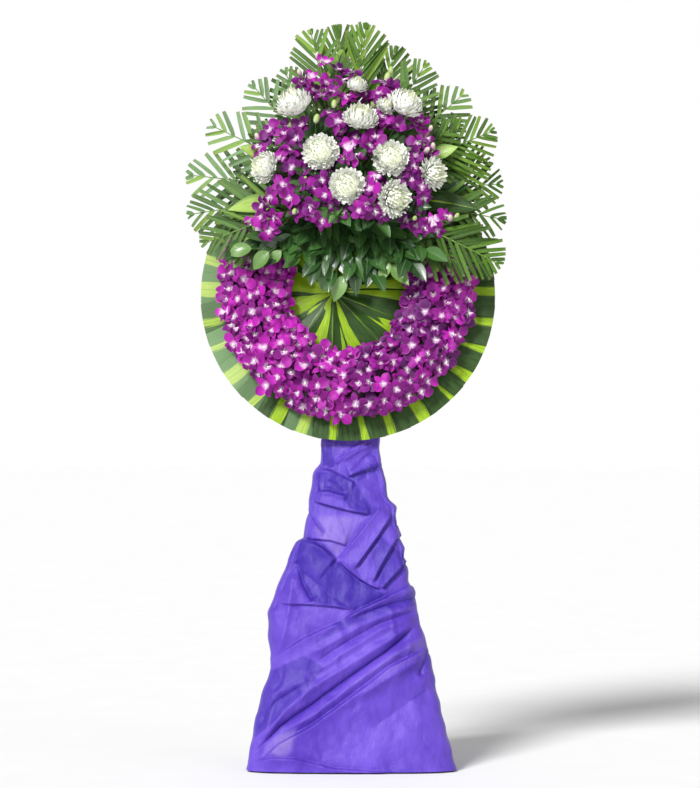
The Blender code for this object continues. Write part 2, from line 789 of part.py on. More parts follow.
def dome_point(x, height):
    """A point of the bouquet's domed front, and the direction out of it."""
    reach = DOME_UP if height > BRICK_RISE else DOME_DOWN
    share = (x / DOME_HALF_WIDTH) ** 2 + ((height - BRICK_RISE) / reach) ** 2
    depth = DOME_BASE_DEPTH + DOME_DEPTH * math.sqrt(max(0.0, 1 - share))
    out = Vector((5.0 * x, -1.0, 6.5 * (height - BRICK_RISE - 0.02)))
    return face_point(x, depth, rise_of(height, depth)), out.normalized()


def bloom(radius):
    """A chrysanthemum facing +Z: staggered rows of pointed petals over a round core."""
    petals, rows = 10, 5
    core, squash = 0.60 * radius, 0.85
    lean_in = math.radians(9)

    def on_sphere(polar, turn, distance):
        flat = math.sin(polar) * distance
        up = math.cos(polar) * distance * squash
        return Vector((flat * math.cos(turn), flat * math.sin(turn), up))

    polars = [math.radians(16 + 104 * row / rows) for row in range(rows + 1)]
    points = []
    for row, polar in enumerate(polars):
        for k in range(petals):
            points.append(on_sphere(polar, 2 * math.pi * (k + 0.5 * (row % 2)) / petals, core))
    top, bottom = len(points), len(points) + 1
    points += [Vector((0, 0, core * squash)), on_sphere(math.pi, 0.0, core)]

    def at(row, k):
        return row * petals + k % petals

    faces = []
    for row in range(rows):
        shift = row % 2
        for k in range(petals):
            left, right = at(row, k), at(row, k + 1)
            below = at(row + 1, k + shift)
            above = top if row == 0 else at(row - 1, k + shift)
            turn = 2 * math.pi * (k + 0.5 * shift + 0.5) / petals
            reach = radius * (0.90 + 0.10 * row / rows)
            points.append(on_sphere(max(0.12, polars[row] - lean_in), turn, reach))
            tip = len(points) - 1
            for a, b in ((above, left), (left, below), (below, right), (right, above)):
                faces.append((a, b, tip))
    for k in range(petals):
        left, right = at(rows, k), at(rows, k + 1)
        above = at(rows - 1, k + rows % 2)
        faces.append((above, left, right))
        faces.append((left, bottom, right))
    return points, faces


def make_mums(looks, parent, taken):
    holes, trees = [], []
    for i, (x, height, size) in enumerate(MUMS):
        position, direction = dome_point(x, height)
        radius = BLOOM_RADIUS * size
        for advance in BLOOM_ADVANCES:
            middle = position + direction * advance
            head = moved(bloom(radius), facing(middle, direction))
            if is_clear(head, taken + trees):
                break
        stem, hole = clear_stem(middle - direction * radius * 0.2, STEM_RADIUS, taken + trees)
        holes.append(hole)
        trees += [tree_of(head), tree_of(stem)]
        fused(f"mum_{i + 1:02d}", [head, stem], looks["mum"], parent)
    return trees, holes


# Orchid sprays


def make_sprays(looks, parent, taken):
    """Each spray's florets stand on a spiral round its middle, on stalks from one hub."""
    holes, trees = [], []
    golden = math.radians(137.5)
    for i, (x, height, count, reach) in enumerate(SPRAYS):
        draw = random.Random(100 + i)
        middle, direction = dome_point(x, height)
        hub = brick_centre().lerp(middle, HUB_SHARE)
        past_hub = hub + (middle - hub).normalized() * 0.005
        stem, hole = clear_stem(past_hub, STEM_RADIUS, taken + trees)
        pieces, own, heads = [stem], [tree_of(stem)], []
        for k in range(count):
            for attempt in range(SPRAY_ATTEMPTS):
                away = reach * math.sqrt((k + attempt * 0.15) / count)
                turn = golden * k + i + attempt * 0.45
                position, out = dome_point(x + away * math.cos(turn), height + away * math.sin(turn))
                position += out * (0.006 - 0.010 * (attempt % 4))
                tilt = Vector((draw.uniform(-0.3, 0.3), -0.6, draw.uniform(-0.3, 0.3)))
                aim = (out + tilt).normalized()
                size = FLORET_RADIUS * draw.uniform(0.88, 1.0)
                head = moved(floret(size), facing(position, aim, draw.uniform(-0.6, 0.6)))
                stalk = rod([hub, position - aim * size * 0.25], PEDICEL_RADIUS, 3)
                if is_clear(head, taken + trees + heads) and is_clear(stalk, taken + trees + heads):
                    heads.append(tree_of(head))
                    own += [tree_of(head), tree_of(stalk)]
                    pieces += [head, stalk]
                    break
        trees += own
        holes.append(hole)
        fused(f"orchid_spray_{i + 1}", pieces, looks["orchid"], parent)
    return trees, holes


# Leafy twigs and broad leaves


def leaf(length, width, fold):
    """A pointed oval leaf from the origin along +Y, facing +Z, folded up along its rib."""
    outline = ((0.0, 0.0), (0.5, 0.25), (0.42, 0.68), (0.0, 1.0), (-0.42, 0.68), (-0.5, 0.25))
    points = [Vector((x * width, y * length, abs(x) * fold)) for x, y in outline]
    points += [Vector((0, length * 0.3, 0)), Vector((0, length * 0.7, 0))]
    triangles = [(0, 1, 6), (1, 2, 7), (1, 7, 6), (2, 3, 7), (3, 4, 7), (4, 5, 6), (4, 6, 7), (5, 0, 6)]
    return slab(points, triangles, [Vector((0, 0, 1))] * len(points), BLADE_THICKNESS)


def bend(start, middle, end, steps):
    """Points of a quadratic curve."""
    path = []
    for i in range(steps + 1):
        t = i / steps
        path.append(start * (1 - t) ** 2 + middle * 2 * t * (1 - t) + end * t * t)
    return path


def make_twigs(looks, parent, taken):
    holes, trees = [], []
    for i, (x, height, depth) in enumerate(TWIGS):
        end = face_point(x, depth, rise_of(height, depth))
        spread = brick_centre() + Vector((0.34 * x, -0.008, -BRICK_HEIGHT / 2))
        source = spread + Vector((-0.05 * x, 0.0, 0.02))
        start, leaves = stem_start(spread, source)
        middle = leaves + (leaves - start).normalized() * 0.05 + Vector((x * 0.2, -0.01, 0))
        path = [start, *bend(leaves, middle, end, 5)]
        pieces = [rod(path, TWIG_RADIUS, 3, TWIG_END_RADIUS)]
        for k in range(TWIG_LEAVES):
            share = 0.30 + 0.70 * k / (TWIG_LEAVES - 1)
            place = min(int(share * 5), 4)
            here = path[1 + place].lerp(path[2 + place], share * 5 - place)
            down = (path[2 + place] - path[1 + place]).normalized()
            way = 0.0 if k == TWIG_LEAVES - 1 else (-1) ** k * TWIG_LEAF_TURN
            down = Matrix.Rotation(way, 4, "Y") @ down
            out = (Vector((0, -1, 0)) - down * down.dot(Vector((0, -1, 0)))).normalized()
            along = (down + out * 0.26).normalized()
            normal = (out - along * out.dot(along)).normalized()
            frame = Matrix((along.cross(normal), along, normal)).transposed().to_4x4()
            size = 1.0 - 0.05 * (k % 3)
            shape = leaf(TWIG_LEAF_LENGTH * size, TWIG_LEAF_WIDTH * size, 0.004)
            shape = moved(shape, Matrix.Translation(here - along * 0.0012) @ frame)
            if is_clear(shape, taken + trees):
                pieces.append(shape)
        trees += [tree_of(piece) for piece in pieces]
        holes.append(hole_for(start, leaves, TWIG_RADIUS))
        fused(f"leaf_twig_{i + 1}", pieces, looks["glossy_leaf"], parent)
    return trees, holes


# Name, look, angle, reach, half width, depth at the tip and length of each broad leaf
BROAD_LEAVES = (
    ("broad_leaf_left", "lime_leaf", 187, 0.300, 0.021, 0.130, 0.120),
    ("broad_leaf_right", "striped_leaf", -8, 0.325, 0.028, 0.130, 0.170),
)
BROAD_STALK_RADIUS = 0.0022
BROAD_STALK_OVERLAP = 0.012  # how far the stalk runs into the leaf
# Steps forward, or back, to where a broad leaf is clear
BROAD_NUDGES = (0.0, 0.008, 0.016, -0.008, 0.024, 0.032, 0.040, 0.050, 0.060)


def make_broad_leaves(looks, parent, taken):
    holes, trees = [], []
    for name, look, angle, reach, half_width, depth, length in BROAD_LEAVES:
        turn = math.radians(angle)
        ahead = Vector((math.cos(turn), 0, math.sin(turn)))
        tip = brick_centre() + ahead * reach
        tip.y = -depth
        for nudge in BROAD_NUDGES:
            end = tip + Vector((0, -nudge, 0))
            along = (end - brick_centre()).normalized()
            start, leaves = stem_start(end)
            base = end - along * length
            normal = (Vector((0, -1, 0)) + along * along.y).normalized()
            frame = Matrix((along.cross(normal), along, normal)).transposed().to_4x4()
            blade = moved(leaf(length, 2 * half_width, 0.006), Matrix.Translation(base) @ frame)
            stalk = rod([start, base + along * BROAD_STALK_OVERLAP], BROAD_STALK_RADIUS, 4)
            if is_clear(blade, taken + trees) and is_clear(stalk, taken + trees):
                break
        trees += [tree_of(blade), tree_of(stalk)]
        holes.append(hole_for(start, leaves, BROAD_STALK_RADIUS))
        fused(name, [blade, stalk], looks[look], parent)
    return trees, holes


def main():
    for old in list(bpy.data.objects):
        bpy.data.objects.remove(old)
    looks = make_materials()
    lean = bpy.data.objects.new("leaning_frame", None)
    bpy.context.scene.collection.objects.link(lean)
    lean.matrix_world = leaning()

    make_easel(looks, lean)
    make_cloth(looks, lean)
    make_board(looks, lean)
    fans = make_leaf_fans(looks, lean)
    crescent = fans + make_crescent(looks, lean, fans)
    fronds, frond_holes = make_fronds(looks, lean)
    mums, mum_holes = make_mums(looks, lean, crescent + fronds)
    solid = crescent + fronds + mums
    twigs, twig_holes = make_twigs(looks, lean, solid)
    solid += twigs
    broad, broad_holes = make_broad_leaves(looks, lean, solid)
    solid += broad
    _, spray_holes = make_sprays(looks, lean, solid)
    holes = frond_holes + mum_holes + twig_holes + broad_holes + spray_holes
    make_brick(looks, lean, holes)


main()
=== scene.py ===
"""The looks of a standing funeral wreath: petals, leaves, fronds, folded cloth and bamboo.

The wreath's face is built in the same leaning frame as its model: x to the right, depth
towards the viewer and rise along the leaning plane. Units are metres.
"""

import json
import math
import random

import bpy
import numpy as np
from mathutils import Matrix, Vector

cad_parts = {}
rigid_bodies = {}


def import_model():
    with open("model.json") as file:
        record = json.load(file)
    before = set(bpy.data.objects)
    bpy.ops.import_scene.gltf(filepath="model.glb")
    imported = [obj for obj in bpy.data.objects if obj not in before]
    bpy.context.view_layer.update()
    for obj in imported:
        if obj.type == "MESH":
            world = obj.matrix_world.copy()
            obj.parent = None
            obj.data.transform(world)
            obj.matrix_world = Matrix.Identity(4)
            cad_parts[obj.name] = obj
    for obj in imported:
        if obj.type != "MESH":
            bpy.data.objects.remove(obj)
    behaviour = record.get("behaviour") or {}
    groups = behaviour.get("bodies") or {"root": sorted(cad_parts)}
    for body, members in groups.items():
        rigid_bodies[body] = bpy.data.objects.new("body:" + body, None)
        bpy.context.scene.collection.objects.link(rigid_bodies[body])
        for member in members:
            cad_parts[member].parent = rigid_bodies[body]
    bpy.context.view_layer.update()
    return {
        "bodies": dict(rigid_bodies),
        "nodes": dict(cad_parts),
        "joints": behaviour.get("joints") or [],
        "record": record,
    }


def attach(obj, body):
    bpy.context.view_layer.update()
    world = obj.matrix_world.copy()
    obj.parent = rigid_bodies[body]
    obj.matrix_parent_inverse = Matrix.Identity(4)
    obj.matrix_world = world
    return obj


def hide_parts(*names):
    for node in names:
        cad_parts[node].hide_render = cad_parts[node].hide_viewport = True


# The photograph's frame: its scale, its middle column and the floor's row
PICTURE_WIDTH, PICTURE_HEIGHT = 700, 788
METRES_PER_PIXEL = 0.0024
MIDDLE_COLUMN, FLOOR_ROW = 348, 768

# The easel and the round board, as in the model
LEAN = math.radians(8.0)
FRONT_SHIFT = -0.276
STAND_X = 0.008
POLE_RADIUS = 0.012
POLE_FOOT_SPREAD = 0.213
CROSSING_RISE = 0.98
POLE_TOP_RISE = 1.43
REAR_FOOT_Y = 0.62
REAR_TOP_HEIGHT = 1.04
DISC_RISE = 1.144
BOARD_RADIUS = 0.345
BOARD_BACK = 0.012
BOARD_THICKNESS = 0.014
SHOWN_COLLAR_RADIUS = 0.3565
COLLAR_BACK = BOARD_BACK + BOARD_THICKNESS + 0.0003
CRESCENT_BACK = COLLAR_BACK + 0.0109
CRESCENT_START = math.radians(22.0)
CRESCENT_SPAN = math.radians(-231.0)
CRESCENT_RADIUS = 0.222
CRESCENT_HALF_WIDTH = 0.062
CRESCENT_HEIGHT = 0.040
BRICK_RISE = 1.389
BRICK_HEIGHT = 0.110
BRICK_DEPTH_MIDDLE = CRESCENT_BACK + 0.040
DOME_HALF_WIDTH = 0.30
DOME_UP, DOME_DOWN = 0.33, 0.20
DOME_BASE_DEPTH, DOME_DEPTH = 0.115, 0.125
DOME_ENLARGED = 1.0097
BLOOM_RADIUS = 0.043


def seen(column, row):
    """x and height of a place in the photograph."""
    return (column - MIDDLE_COLUMN) * METRES_PER_PIXEL, (FLOOR_ROW - row) * METRES_PER_PIXEL


def seen_on_dome(column, row):
    """The same on the dome of flowers, which is nearer and so looks a little larger."""
    x, height = seen(column, row)
    eye_x, eye_height = seen(PICTURE_WIDTH / 2, PICTURE_HEIGHT / 2)
    return eye_x + (x - eye_x) / DOME_ENLARGED, eye_height + (height - eye_height) / DOME_ENLARGED


def smooth_step(share):
    share = np.clip(share, 0, 1)
    return share * share * (3 - 2 * share)


def face_point(x, depth, rise):
    return Vector((x, -depth, rise))


def rise_of(height, depth):
    return (height - depth * math.sin(LEAN)) / math.cos(LEAN)


LEANING = Matrix.Translation((0, FRONT_SHIFT, 0)) @ Matrix.Rotation(-LEAN, 4, "X")


# Node trees


class Shader:
    """A material's node tree, with short ways to add nodes to it."""

    def __init__(self, name, roughness=0.5, **settings):
        self.material = bpy.data.materials.new(name)
        self.material.use_nodes = True
        self.nodes = self.material.node_tree.nodes
        self.links = self.material.node_tree.links
        self.surface = self.nodes["Principled BSDF"]
        self.surface.inputs["Roughness"].default_value = roughness
        for key, value in settings.items():
            self.surface.inputs[key.replace("_", " ")].default_value = value

    def node(self, kind, **settings):
        made = self.nodes.new(kind)
        for key, value in settings.items():
            setattr(made, key, value)
        return made

    def feed(self, socket, value):
        if isinstance(value, bpy.types.NodeSocket):
            self.links.new(value, socket)
        elif isinstance(value, tuple) and len(value) == 3 and socket.type == "RGBA":
            socket.default_value = (*value, 1.0)
        else:
            socket.default_value = value

    def place(self, name="place"):
        """Along and across the sheet that a point is on, each from 0 to 1."""
        parts = self.node("ShaderNodeSeparateXYZ")
        self.links.new(self.node("ShaderNodeUVMap", uv_map=name).outputs[0], parts.inputs[0])
        return parts.outputs[0], parts.outputs[1]

    def position(self):
        return self.node("ShaderNodeTexCoord").outputs["Object"]

    def position_height(self):
        parts = self.node("ShaderNodeSeparateXYZ")
        self.links.new(self.position(), parts.inputs[0])
        return parts.outputs[2]

    def math(self, operation, a, b=0.0, c=0.0, clamp=False):
        made = self.node("ShaderNodeMath", operation=operation, use_clamp=clamp)
        for socket, value in zip(made.inputs, (a, b, c)):
            self.feed(socket, value)
        return made.outputs[0]

    def stretch(self, vector, scale):
        made = self.node("ShaderNodeVectorMath", operation="MULTIPLY")
        self.feed(made.inputs[0], vector)
        made.inputs[1].default_value = scale
        return made.outputs[0]

    def join(self, x, y, z=0.0):
        made = self.node("ShaderNodeCombineXYZ")
        for socket, value in zip(made.inputs, (x, y, z)):
            self.feed(socket, value)
        return made.outputs[0]

    def noise(self, vector, scale, detail=3.0, roughness=0.55):
        made = self.node("ShaderNodeTexNoise")
        self.feed(made.inputs["Vector"], vector)
        made.inputs["Scale"].default_value = scale
        made.inputs["Detail"].default_value = detail
        made.inputs["Roughness"].default_value = roughness
        return made.outputs[0]

    def step(self, value, low, high, out_low=0.0, out_high=1.0):
        """A smooth change from out_low to out_high as value goes from low to high."""
        made = self.node("ShaderNodeMapRange", interpolation_type="SMOOTHSTEP")
        self.feed(made.inputs["Value"], value)
        for key, number in (("From Min", low), ("From Max", high), ("To Min", out_low), ("To Max", out_high)):
            made.inputs[key].default_value = number
        return made.outputs[0]

    def mix(self, share, a, b):
        made = self.node("ShaderNodeMix", data_type="RGBA")
        self.feed(made.inputs[0], share)
        self.feed(made.inputs[6], a)
        self.feed(made.inputs[7], b)
        return made.outputs[2]

    def bump(self, height, depth, strength=1.0):
        made = self.node("ShaderNodeBump")
        self.feed(made.inputs["Height"], height)
        made.inputs["Distance"].default_value = depth
        made.inputs["Strength"].default_value = strength
        self.links.new(made.outputs[0], self.surface.inputs["Normal"])

    def colour(self, value):
        self.feed(self.surface.inputs["Base Color"], value)


def petal_material():
    """Magenta tepals with white throats, darker veins and a brighter or darker tone for each floret."""
    s = Shader("orchid_petal", 0.48, Specular_IOR_Level=0.28)
    along, across = s.place()
    tone, kind = s.place("tone")
    grain = s.noise(s.join(s.math("MULTIPLY", along, 3.0), s.math("MULTIPLY", across, 9.0), tone), 3.0)
    vein = s.math("SINE", s.math("MULTIPLY_ADD", across, 58.0, s.math("MULTIPLY", grain, 4.0)))
    vein = s.math("MULTIPLY_ADD", vein, 0.5, 0.5)
    flesh = s.mix(s.step(tone, 0.0, 1.0), (0.060, 0.001, 0.070), (0.46, 0.010, 0.39))
    flesh = s.mix(s.math("MULTIPLY", vein, 0.28), flesh, (0.09, 0.001, 0.10))
    flesh = s.mix(s.step(along, 0.45, 1.0, 0.0, 0.40), flesh, (0.13, 0.001, 0.14))
    edge = s.math("ABSOLUTE", s.math("SUBTRACT", across, 0.5))
    flesh = s.mix(s.step(edge, 0.34, 0.5, 0.0, 0.22), flesh, (0.62, 0.05, 0.56))
    reach = s.math("ADD", along, s.math("MULTIPLY", s.math("SUBTRACT", grain, 0.5), 0.34))
    reach = s.math("SUBTRACT", reach, s.step(tone, 1.02, 1.20, 0.0, 0.32))
    throat = s.step(reach, 0.05, 0.35, 1.0, 0.0)
    base = s.mix(s.math("MULTIPLY", throat, 0.84), flesh, (0.84, 0.62, 0.82))
    lip = s.mix(s.step(reach, 0.20, 0.50), (0.80, 0.58, 0.76), (0.15, 0.001, 0.14))
    base = s.mix(s.step(kind, 0.3, 0.4), base, lip)
    base = s.mix(s.step(kind, 0.7, 0.8), base, (0.84, 0.76, 0.78))
    s.colour(base)
    s.bump(vein, 0.0004, 0.5)
    return s.material


def bud_material():
    s = Shader("bud", 0.45)
    along, _ = s.place()
    tone, _ = s.place("tone")
    green = s.mix(s.step(along, 0.1, 0.9), (0.30, 0.42, 0.10), (0.66, 0.74, 0.42))
    purple = s.mix(s.step(along, 0.2, 0.9), (0.55, 0.50, 0.40), (0.40, 0.05, 0.36))
    s.colour(s.mix(s.step(tone, 0.45, 0.55), green, purple))
    return s.material


def stem_material():
    s = Shader("stem", 0.5)
    grain = s.noise(s.position(), 60.0)
    s.colour(s.mix(s.step(grain, 0.35, 0.65), (0.07, 0.14, 0.03), (0.16, 0.20, 0.06)))
    return s.material


def mum_material():
    """White straps with fine ribs, greener towards the young petals at the middle, and grey-green towards their
    bases: partly their own colour, partly painted shade between the petals.
    """
    s = Shader("mum_petal", 0.5, Sheen_Weight=0.2)
    along, across = s.place()
    tone, _ = s.place("tone")
    rib = s.math("SINE", s.math("MULTIPLY", across, 22.0))
    young = s.step(tone, 0.0, 0.22, 1.0, 0.0)
    # Grey-green towards the base: partly the petals' own colour, partly painted shade where they crowd together
    white = s.mix(s.step(along, 0.10, 0.75, 1.0, 0.0), (0.935, 0.940, 0.890), (0.70, 0.74, 0.60))
    white = s.mix(s.math("MULTIPLY", young, 0.50), white, (0.78, 0.82, 0.48))
    s.colour(white)
    s.bump(rib, 0.0002, 0.5)
    return s.material


def palm_material():
    """Green leaflets, bluer and paler on some fronds, with fine lengthwise veins."""
    s = Shader("palm_leaflet", 0.52, Specular_IOR_Level=0.28)
    along, across = s.place()
    tone, light = s.place("tone")
    grain = s.noise(s.join(s.math("MULTIPLY", along, 2.0), s.math("MULTIPLY", across, 14.0), tone), 4.0, 4.0)
    deep = s.mix(light, (0.010, 0.046, 0.002), (0.085, 0.180, 0.070))
    pale = s.mix(light, (0.100, 0.225, 0.006), (0.25, 0.38, 0.19))
    green = s.mix(s.step(grain, 0.28, 0.70), deep, pale)
    green = s.mix(s.step(tone, 0.0, 0.5, 0.60, 0.0), green, (0.007, 0.032, 0.002))
    green = s.mix(s.step(tone, 0.65, 1.0, 0.0, 0.60), green, (0.25, 0.41, 0.045))
    fold = s.math("ABSOLUTE", s.math("SUBTRACT", across, 0.5))
    green = s.mix(s.step(fold, 0.0, 0.06, 0.50, 0.0), green, (0.18, 0.29, 0.06))
    green = s.mix(s.step(along, 0.88, 1.0, 0.0, 0.35), green, (0.22, 0.22, 0.08))
    s.colour(green)
    s.bump(s.math("SINE", s.math("MULTIPLY", across, 40.0)), 0.0003, 0.5)
    return s.material


def glossy_material():
    """Dark waxy leaves with a pale midrib and slanting side veins; some show paler backs."""
    s = Shader("glossy_leaf", 0.30, Coat_Weight=0.35, Coat_Roughness=0.20)
    along, across = s.place()
    tone, _ = s.place("tone")
    side = s.math("ABSOLUTE", s.math("SUBTRACT", across, 0.5))
    vein = s.math("SINE", s.math("MULTIPLY", s.math("SUBTRACT", along, side), 46.0))
    vein = s.math("POWER", s.math("MULTIPLY_ADD", vein, 0.5, 0.5), 6.0)
    green = s.mix(s.step(tone, 0.0, 0.8), (0.006, 0.030, 0.006), (0.045, 0.130, 0.024))
    green = s.mix(s.step(tone, 0.82, 0.9, 0.0, 0.85), green, (0.20, 0.34, 0.085))
    patch = s.noise(s.position(), 30.0)
    green = s.mix(s.step(patch, 0.35, 0.7, 0.0, 0.35), green, (0.035, 0.10, 0.024))
    green = s.mix(s.math("MULTIPLY", vein, 0.30), green, (0.08, 0.17, 0.05))
    green = s.mix(s.step(side, 0.0, 0.035, 0.75, 0.0), green, (0.15, 0.25, 0.08))
    s.colour(green)
    s.bump(s.math("SUBTRACT", s.step(side, 0.0, 0.05), s.math("MULTIPLY", vein, 0.5)), 0.0006, 0.6)
    return s.material


def striped_material():
    """Long leaves with a streaky lime band between dark green margins; high tones pale both to grey-green, a painted
    reflection.
    """
    s = Shader("striped_leaf", 0.38, Specular_IOR_Level=0.34)
    along, across = s.place()
    tone, band = s.place("tone")
    lines = s.join(s.math("MULTIPLY", along, 1.2), s.math("MULTIPLY", across, 26.0), s.math("MULTIPLY", tone, 9.0))
    streak = s.noise(lines, 1.6, 4.0, 0.7)
    drift = s.noise(s.join(s.math("MULTIPLY", along, 2.0), tone, 3.0), 1.5, 1.0)
    middle = s.math("ADD", s.math("MULTIPLY_ADD", tone, 0.22, 0.33), s.math("MULTIPLY", drift, 0.10))
    off = s.math("ABSOLUTE", s.math("SUBTRACT", across, middle))
    reach = s.math("MULTIPLY_ADD", s.math("SUBTRACT", streak, 0.5), 0.24, s.math("MULTIPLY", band, 0.48))
    lime = s.step(s.math("SUBTRACT", off, reach), -0.022, 0.012, 1.0, 0.0)
    veins = s.join(s.math("MULTIPLY", along, 1.5), s.math("MULTIPLY", across, 70.0), tone)
    fine = s.noise(veins, 1.3, 3.0, 0.6)
    shade = s.noise(s.join(s.math("MULTIPLY", along, 3.0), s.math("MULTIPLY", across, 40.0), tone), 2.0, 3.0)
    dark = s.mix(s.step(shade, 0.3, 0.7), (0.004, 0.020, 0.001), (0.030, 0.085, 0.006))
    # High tones pale the dark margins and the lime band to grey-green: a painted reflection
    dark = s.mix(s.step(tone, 0.50, 1.0, 0.0, 0.85), dark, (0.165, 0.290, 0.125))
    bright = s.mix(s.step(shade, 0.25, 0.7), (0.11, 0.24, 0.002), (0.33, 0.49, 0.006))
    bright = s.mix(s.step(tone, 0.50, 1.0, 0.0, 0.65), bright, (0.46, 0.58, 0.20))
    base = s.mix(lime, dark, bright)
    base = s.mix(s.step(fine, 0.55, 0.80, 0.0, 0.35), base, (0.09, 0.19, 0.02))
    base = s.mix(s.step(off, 0.0, 0.012, 0.5, 0.0), base, (0.07, 0.17, 0.02))
    s.colour(base)
    s.bump(fine, 0.0012, 0.5)
    return s.material


def lime_material():
    s = Shader("lime_leaf", 0.35, Coat_Weight=0.2, Coat_Roughness=0.25)
    along, across = s.place()
    streak = s.noise(s.join(s.math("MULTIPLY", along, 1.5), s.math("MULTIPLY", across, 18.0)), 3.0, 4.0)
    edge = s.math("ABSOLUTE", s.math("SUBTRACT", across, 0.5))
    base = s.mix(s.step(streak, 0.3, 0.7), (0.20, 0.36, 0.05), (0.46, 0.60, 0.16))
    s.colour(s.mix(s.step(edge, 0.30, 0.5, 0.0, 0.8), base, (0.12, 0.26, 0.05)))
    s.bump(s.math("SINE", s.math("MULTIPLY", across, 50.0)), 0.0004, 0.4)
    return s.material


def cloth_material():
    """Thin bonded fabric: deeper where it lies double, with painted shade in its creases and pleats, paler where it
    is thin, crinkled and dotted.
    """
    s = Shader("purple_cloth", 0.46, Sheen_Weight=0.06, Sheen_Roughness=0.4, Specular_IOR_Level=0.30)
    layers_and_shade, _ = s.place("tone")
    place = s.position()
    patch = s.noise(place, 6.0, 4.0)
    thin = s.noise(s.stretch(place, (1.0, 1.0, 0.6)), 15.0, 5.0, 0.6)
    crinkle = s.noise(s.stretch(place, (1.6, 1.6, 0.9)), 34.0, 5.0, 0.62)
    streak = s.noise(s.stretch(place, (1.0, 1.0, 0.12)), 90.0, 3.0)
    crumple = s.noise(s.stretch(place, (1.0, 1.0, 0.7)), 13.0, 2.0, 0.4)
    crumple = s.math("ABSOLUTE", s.math("MULTIPLY_ADD", crumple, 2.0, -1.0))
    dots = s.node("ShaderNodeTexVoronoi")
    dots.inputs["Scale"].default_value = 520.0
    s.feed(dots.inputs["Vector"], place)
    base = s.mix(s.step(patch, 0.30, 0.70), (0.064, 0.024, 0.345), (0.122, 0.060, 0.475))
    # Darker where the tone is high: where the cloth lies double, towards its top, and as painted shade along creases
    # and in the pleats behind
    base = s.mix(s.step(layers_and_shade, 0.5, 1.0, 0.0, 0.88), base, (0.027, 0.008, 0.250))
    pale = s.math("MULTIPLY", s.step(layers_and_shade, 0.0, 0.5, 0.85, 0.0), s.step(thin, 0.30, 0.60, 0.25, 1.0))
    base = s.mix(pale, base, (0.240, 0.175, 0.46))
    base = s.mix(s.step(thin, 0.56, 0.78, 0.0, 0.45), base, (0.185, 0.112, 0.52))
    base = s.mix(s.step(crinkle, 0.45, 0.8, 0.0, 0.25), base, (0.145, 0.080, 0.53))
    # Pale vertical streaks, more of them towards the top of the cloth
    upper_pale_streaks = s.math("MULTIPLY", s.step(streak, 0.55, 0.75), s.step(s.position_height(), 0.45, 0.75, 0.0, 0.45))
    base = s.mix(upper_pale_streaks, base, (0.23, 0.17, 0.55))
    base = s.mix(s.step(dots.outputs["Distance"], 0.0, 0.45, 0.12, 0.0), base, (0.03, 0.015, 0.24))
    s.colour(base)
    ripple = s.math("ADD", crinkle, s.math("MULTIPLY", patch, 1.5))
    ripple = s.math("MULTIPLY_ADD", s.step(crumple, 0.0, 0.30, 1.0, 0.0), 0.9, ripple)
    s.bump(s.math("MULTIPLY_ADD", dots.outputs["Distance"], 0.12, ripple), 0.0050, 0.65)
    return s.material


def bamboo_material(name, fibres):
    """Straw-coloured culms with long fibres, green stains and dark rings at the joints."""
    s = Shader(name, 0.36, Coat_Weight=0.2, Coat_Roughness=0.25)
    ring, _ = s.place("tone")
    place = s.position()
    fibre = s.noise(s.stretch(place, fibres), 260.0, 4.0)
    stain = s.noise(s.stretch(place, tuple(max(share, 0.35) for share in fibres)), 14.0, 3.0)
    base = s.mix(s.step(fibre, 0.3, 0.7), (0.40, 0.30, 0.10), (0.62, 0.52, 0.24))
    base = s.mix(s.step(stain, 0.48, 0.72, 0.0, 0.6), base, (0.20, 0.22, 0.06))
    s.colour(s.mix(s.step(ring, 0.7, 0.9), base, (0.15, 0.10, 0.045)))
    s.bump(fibre, 0.0006, 0.6)
    return s.material


def board_material():
    """Plywood: wavy rings and fine pores on its faces, three plies along its edge."""
    s = Shader("plywood", 0.7)
    along, _ = s.place()
    place = s.position()
    grain = s.noise(s.stretch(place, (0.8, 1.0, 11.0)), 9.0, 5.0, 0.6)
    figure = s.noise(s.stretch(place, (0.45, 1.0, 2.6)), 3.2, 2.0, 0.4)
    rings = s.math("SINE", s.math("MULTIPLY", figure, 150.0))
    pores = s.noise(s.stretch(place, (1.0, 1.0, 30.0)), 26.0, 3.0, 0.6)
    base = s.mix(s.step(grain, 0.3, 0.7), (0.46, 0.30, 0.15), (0.66, 0.48, 0.28))
    base = s.mix(s.step(rings, 0.0, 1.0, 0.0, 0.45), base, (0.34, 0.20, 0.09))
    base = s.mix(s.step(pores, 0.54, 0.70, 0.0, 0.45), base, (0.24, 0.14, 0.06))
    rim = s.math("MULTIPLY", s.step(along, 0.40, 0.43), s.step(along, 0.57, 0.60, 1.0, 0.0))
    ply = s.step(s.math("SINE", s.math("MULTIPLY", along, 21 * math.pi)), -0.1, 0.1, 0.0, 0.6)
    s.colour(s.mix(s.math("MULTIPLY", rim, ply), base, (0.22, 0.12, 0.05)))
    s.bump(s.math("MULTIPLY_ADD", pores, 0.7, grain), 0.0006, 0.5)
    return s.material


def foam_material():
    s = Shader("wet_foam", 0.95)
    grain = s.noise(s.position(), 500.0, 2.0)
    s.colour(s.mix(s.step(grain, 0.35, 0.65), (0.018, 0.055, 0.02), (0.05, 0.13, 0.05)))
    s.bump(grain, 0.001, 0.6)
    return s.material


def wire_material():
    s = Shader("wire", 0.35, Metallic=1.0)
    rust = s.noise(s.position(), 90.0)
    s.colour(s.mix(s.step(rust, 0.45, 0.65), (0.42, 0.42, 0.42), (0.20, 0.16, 0.13)))
    return s.material


def bed_material():
    # A dark sheet under the crescent's florets; its colour is painted shade in the gaps between them
    s = Shader("flower_bed", 0.9)
    grain = s.noise(s.position(), 70.0)
    s.colour(s.mix(s.step(grain, 0.4, 0.6), (0.020, 0.030, 0.015), (0.09, 0.004, 0.08)))
    return s.material


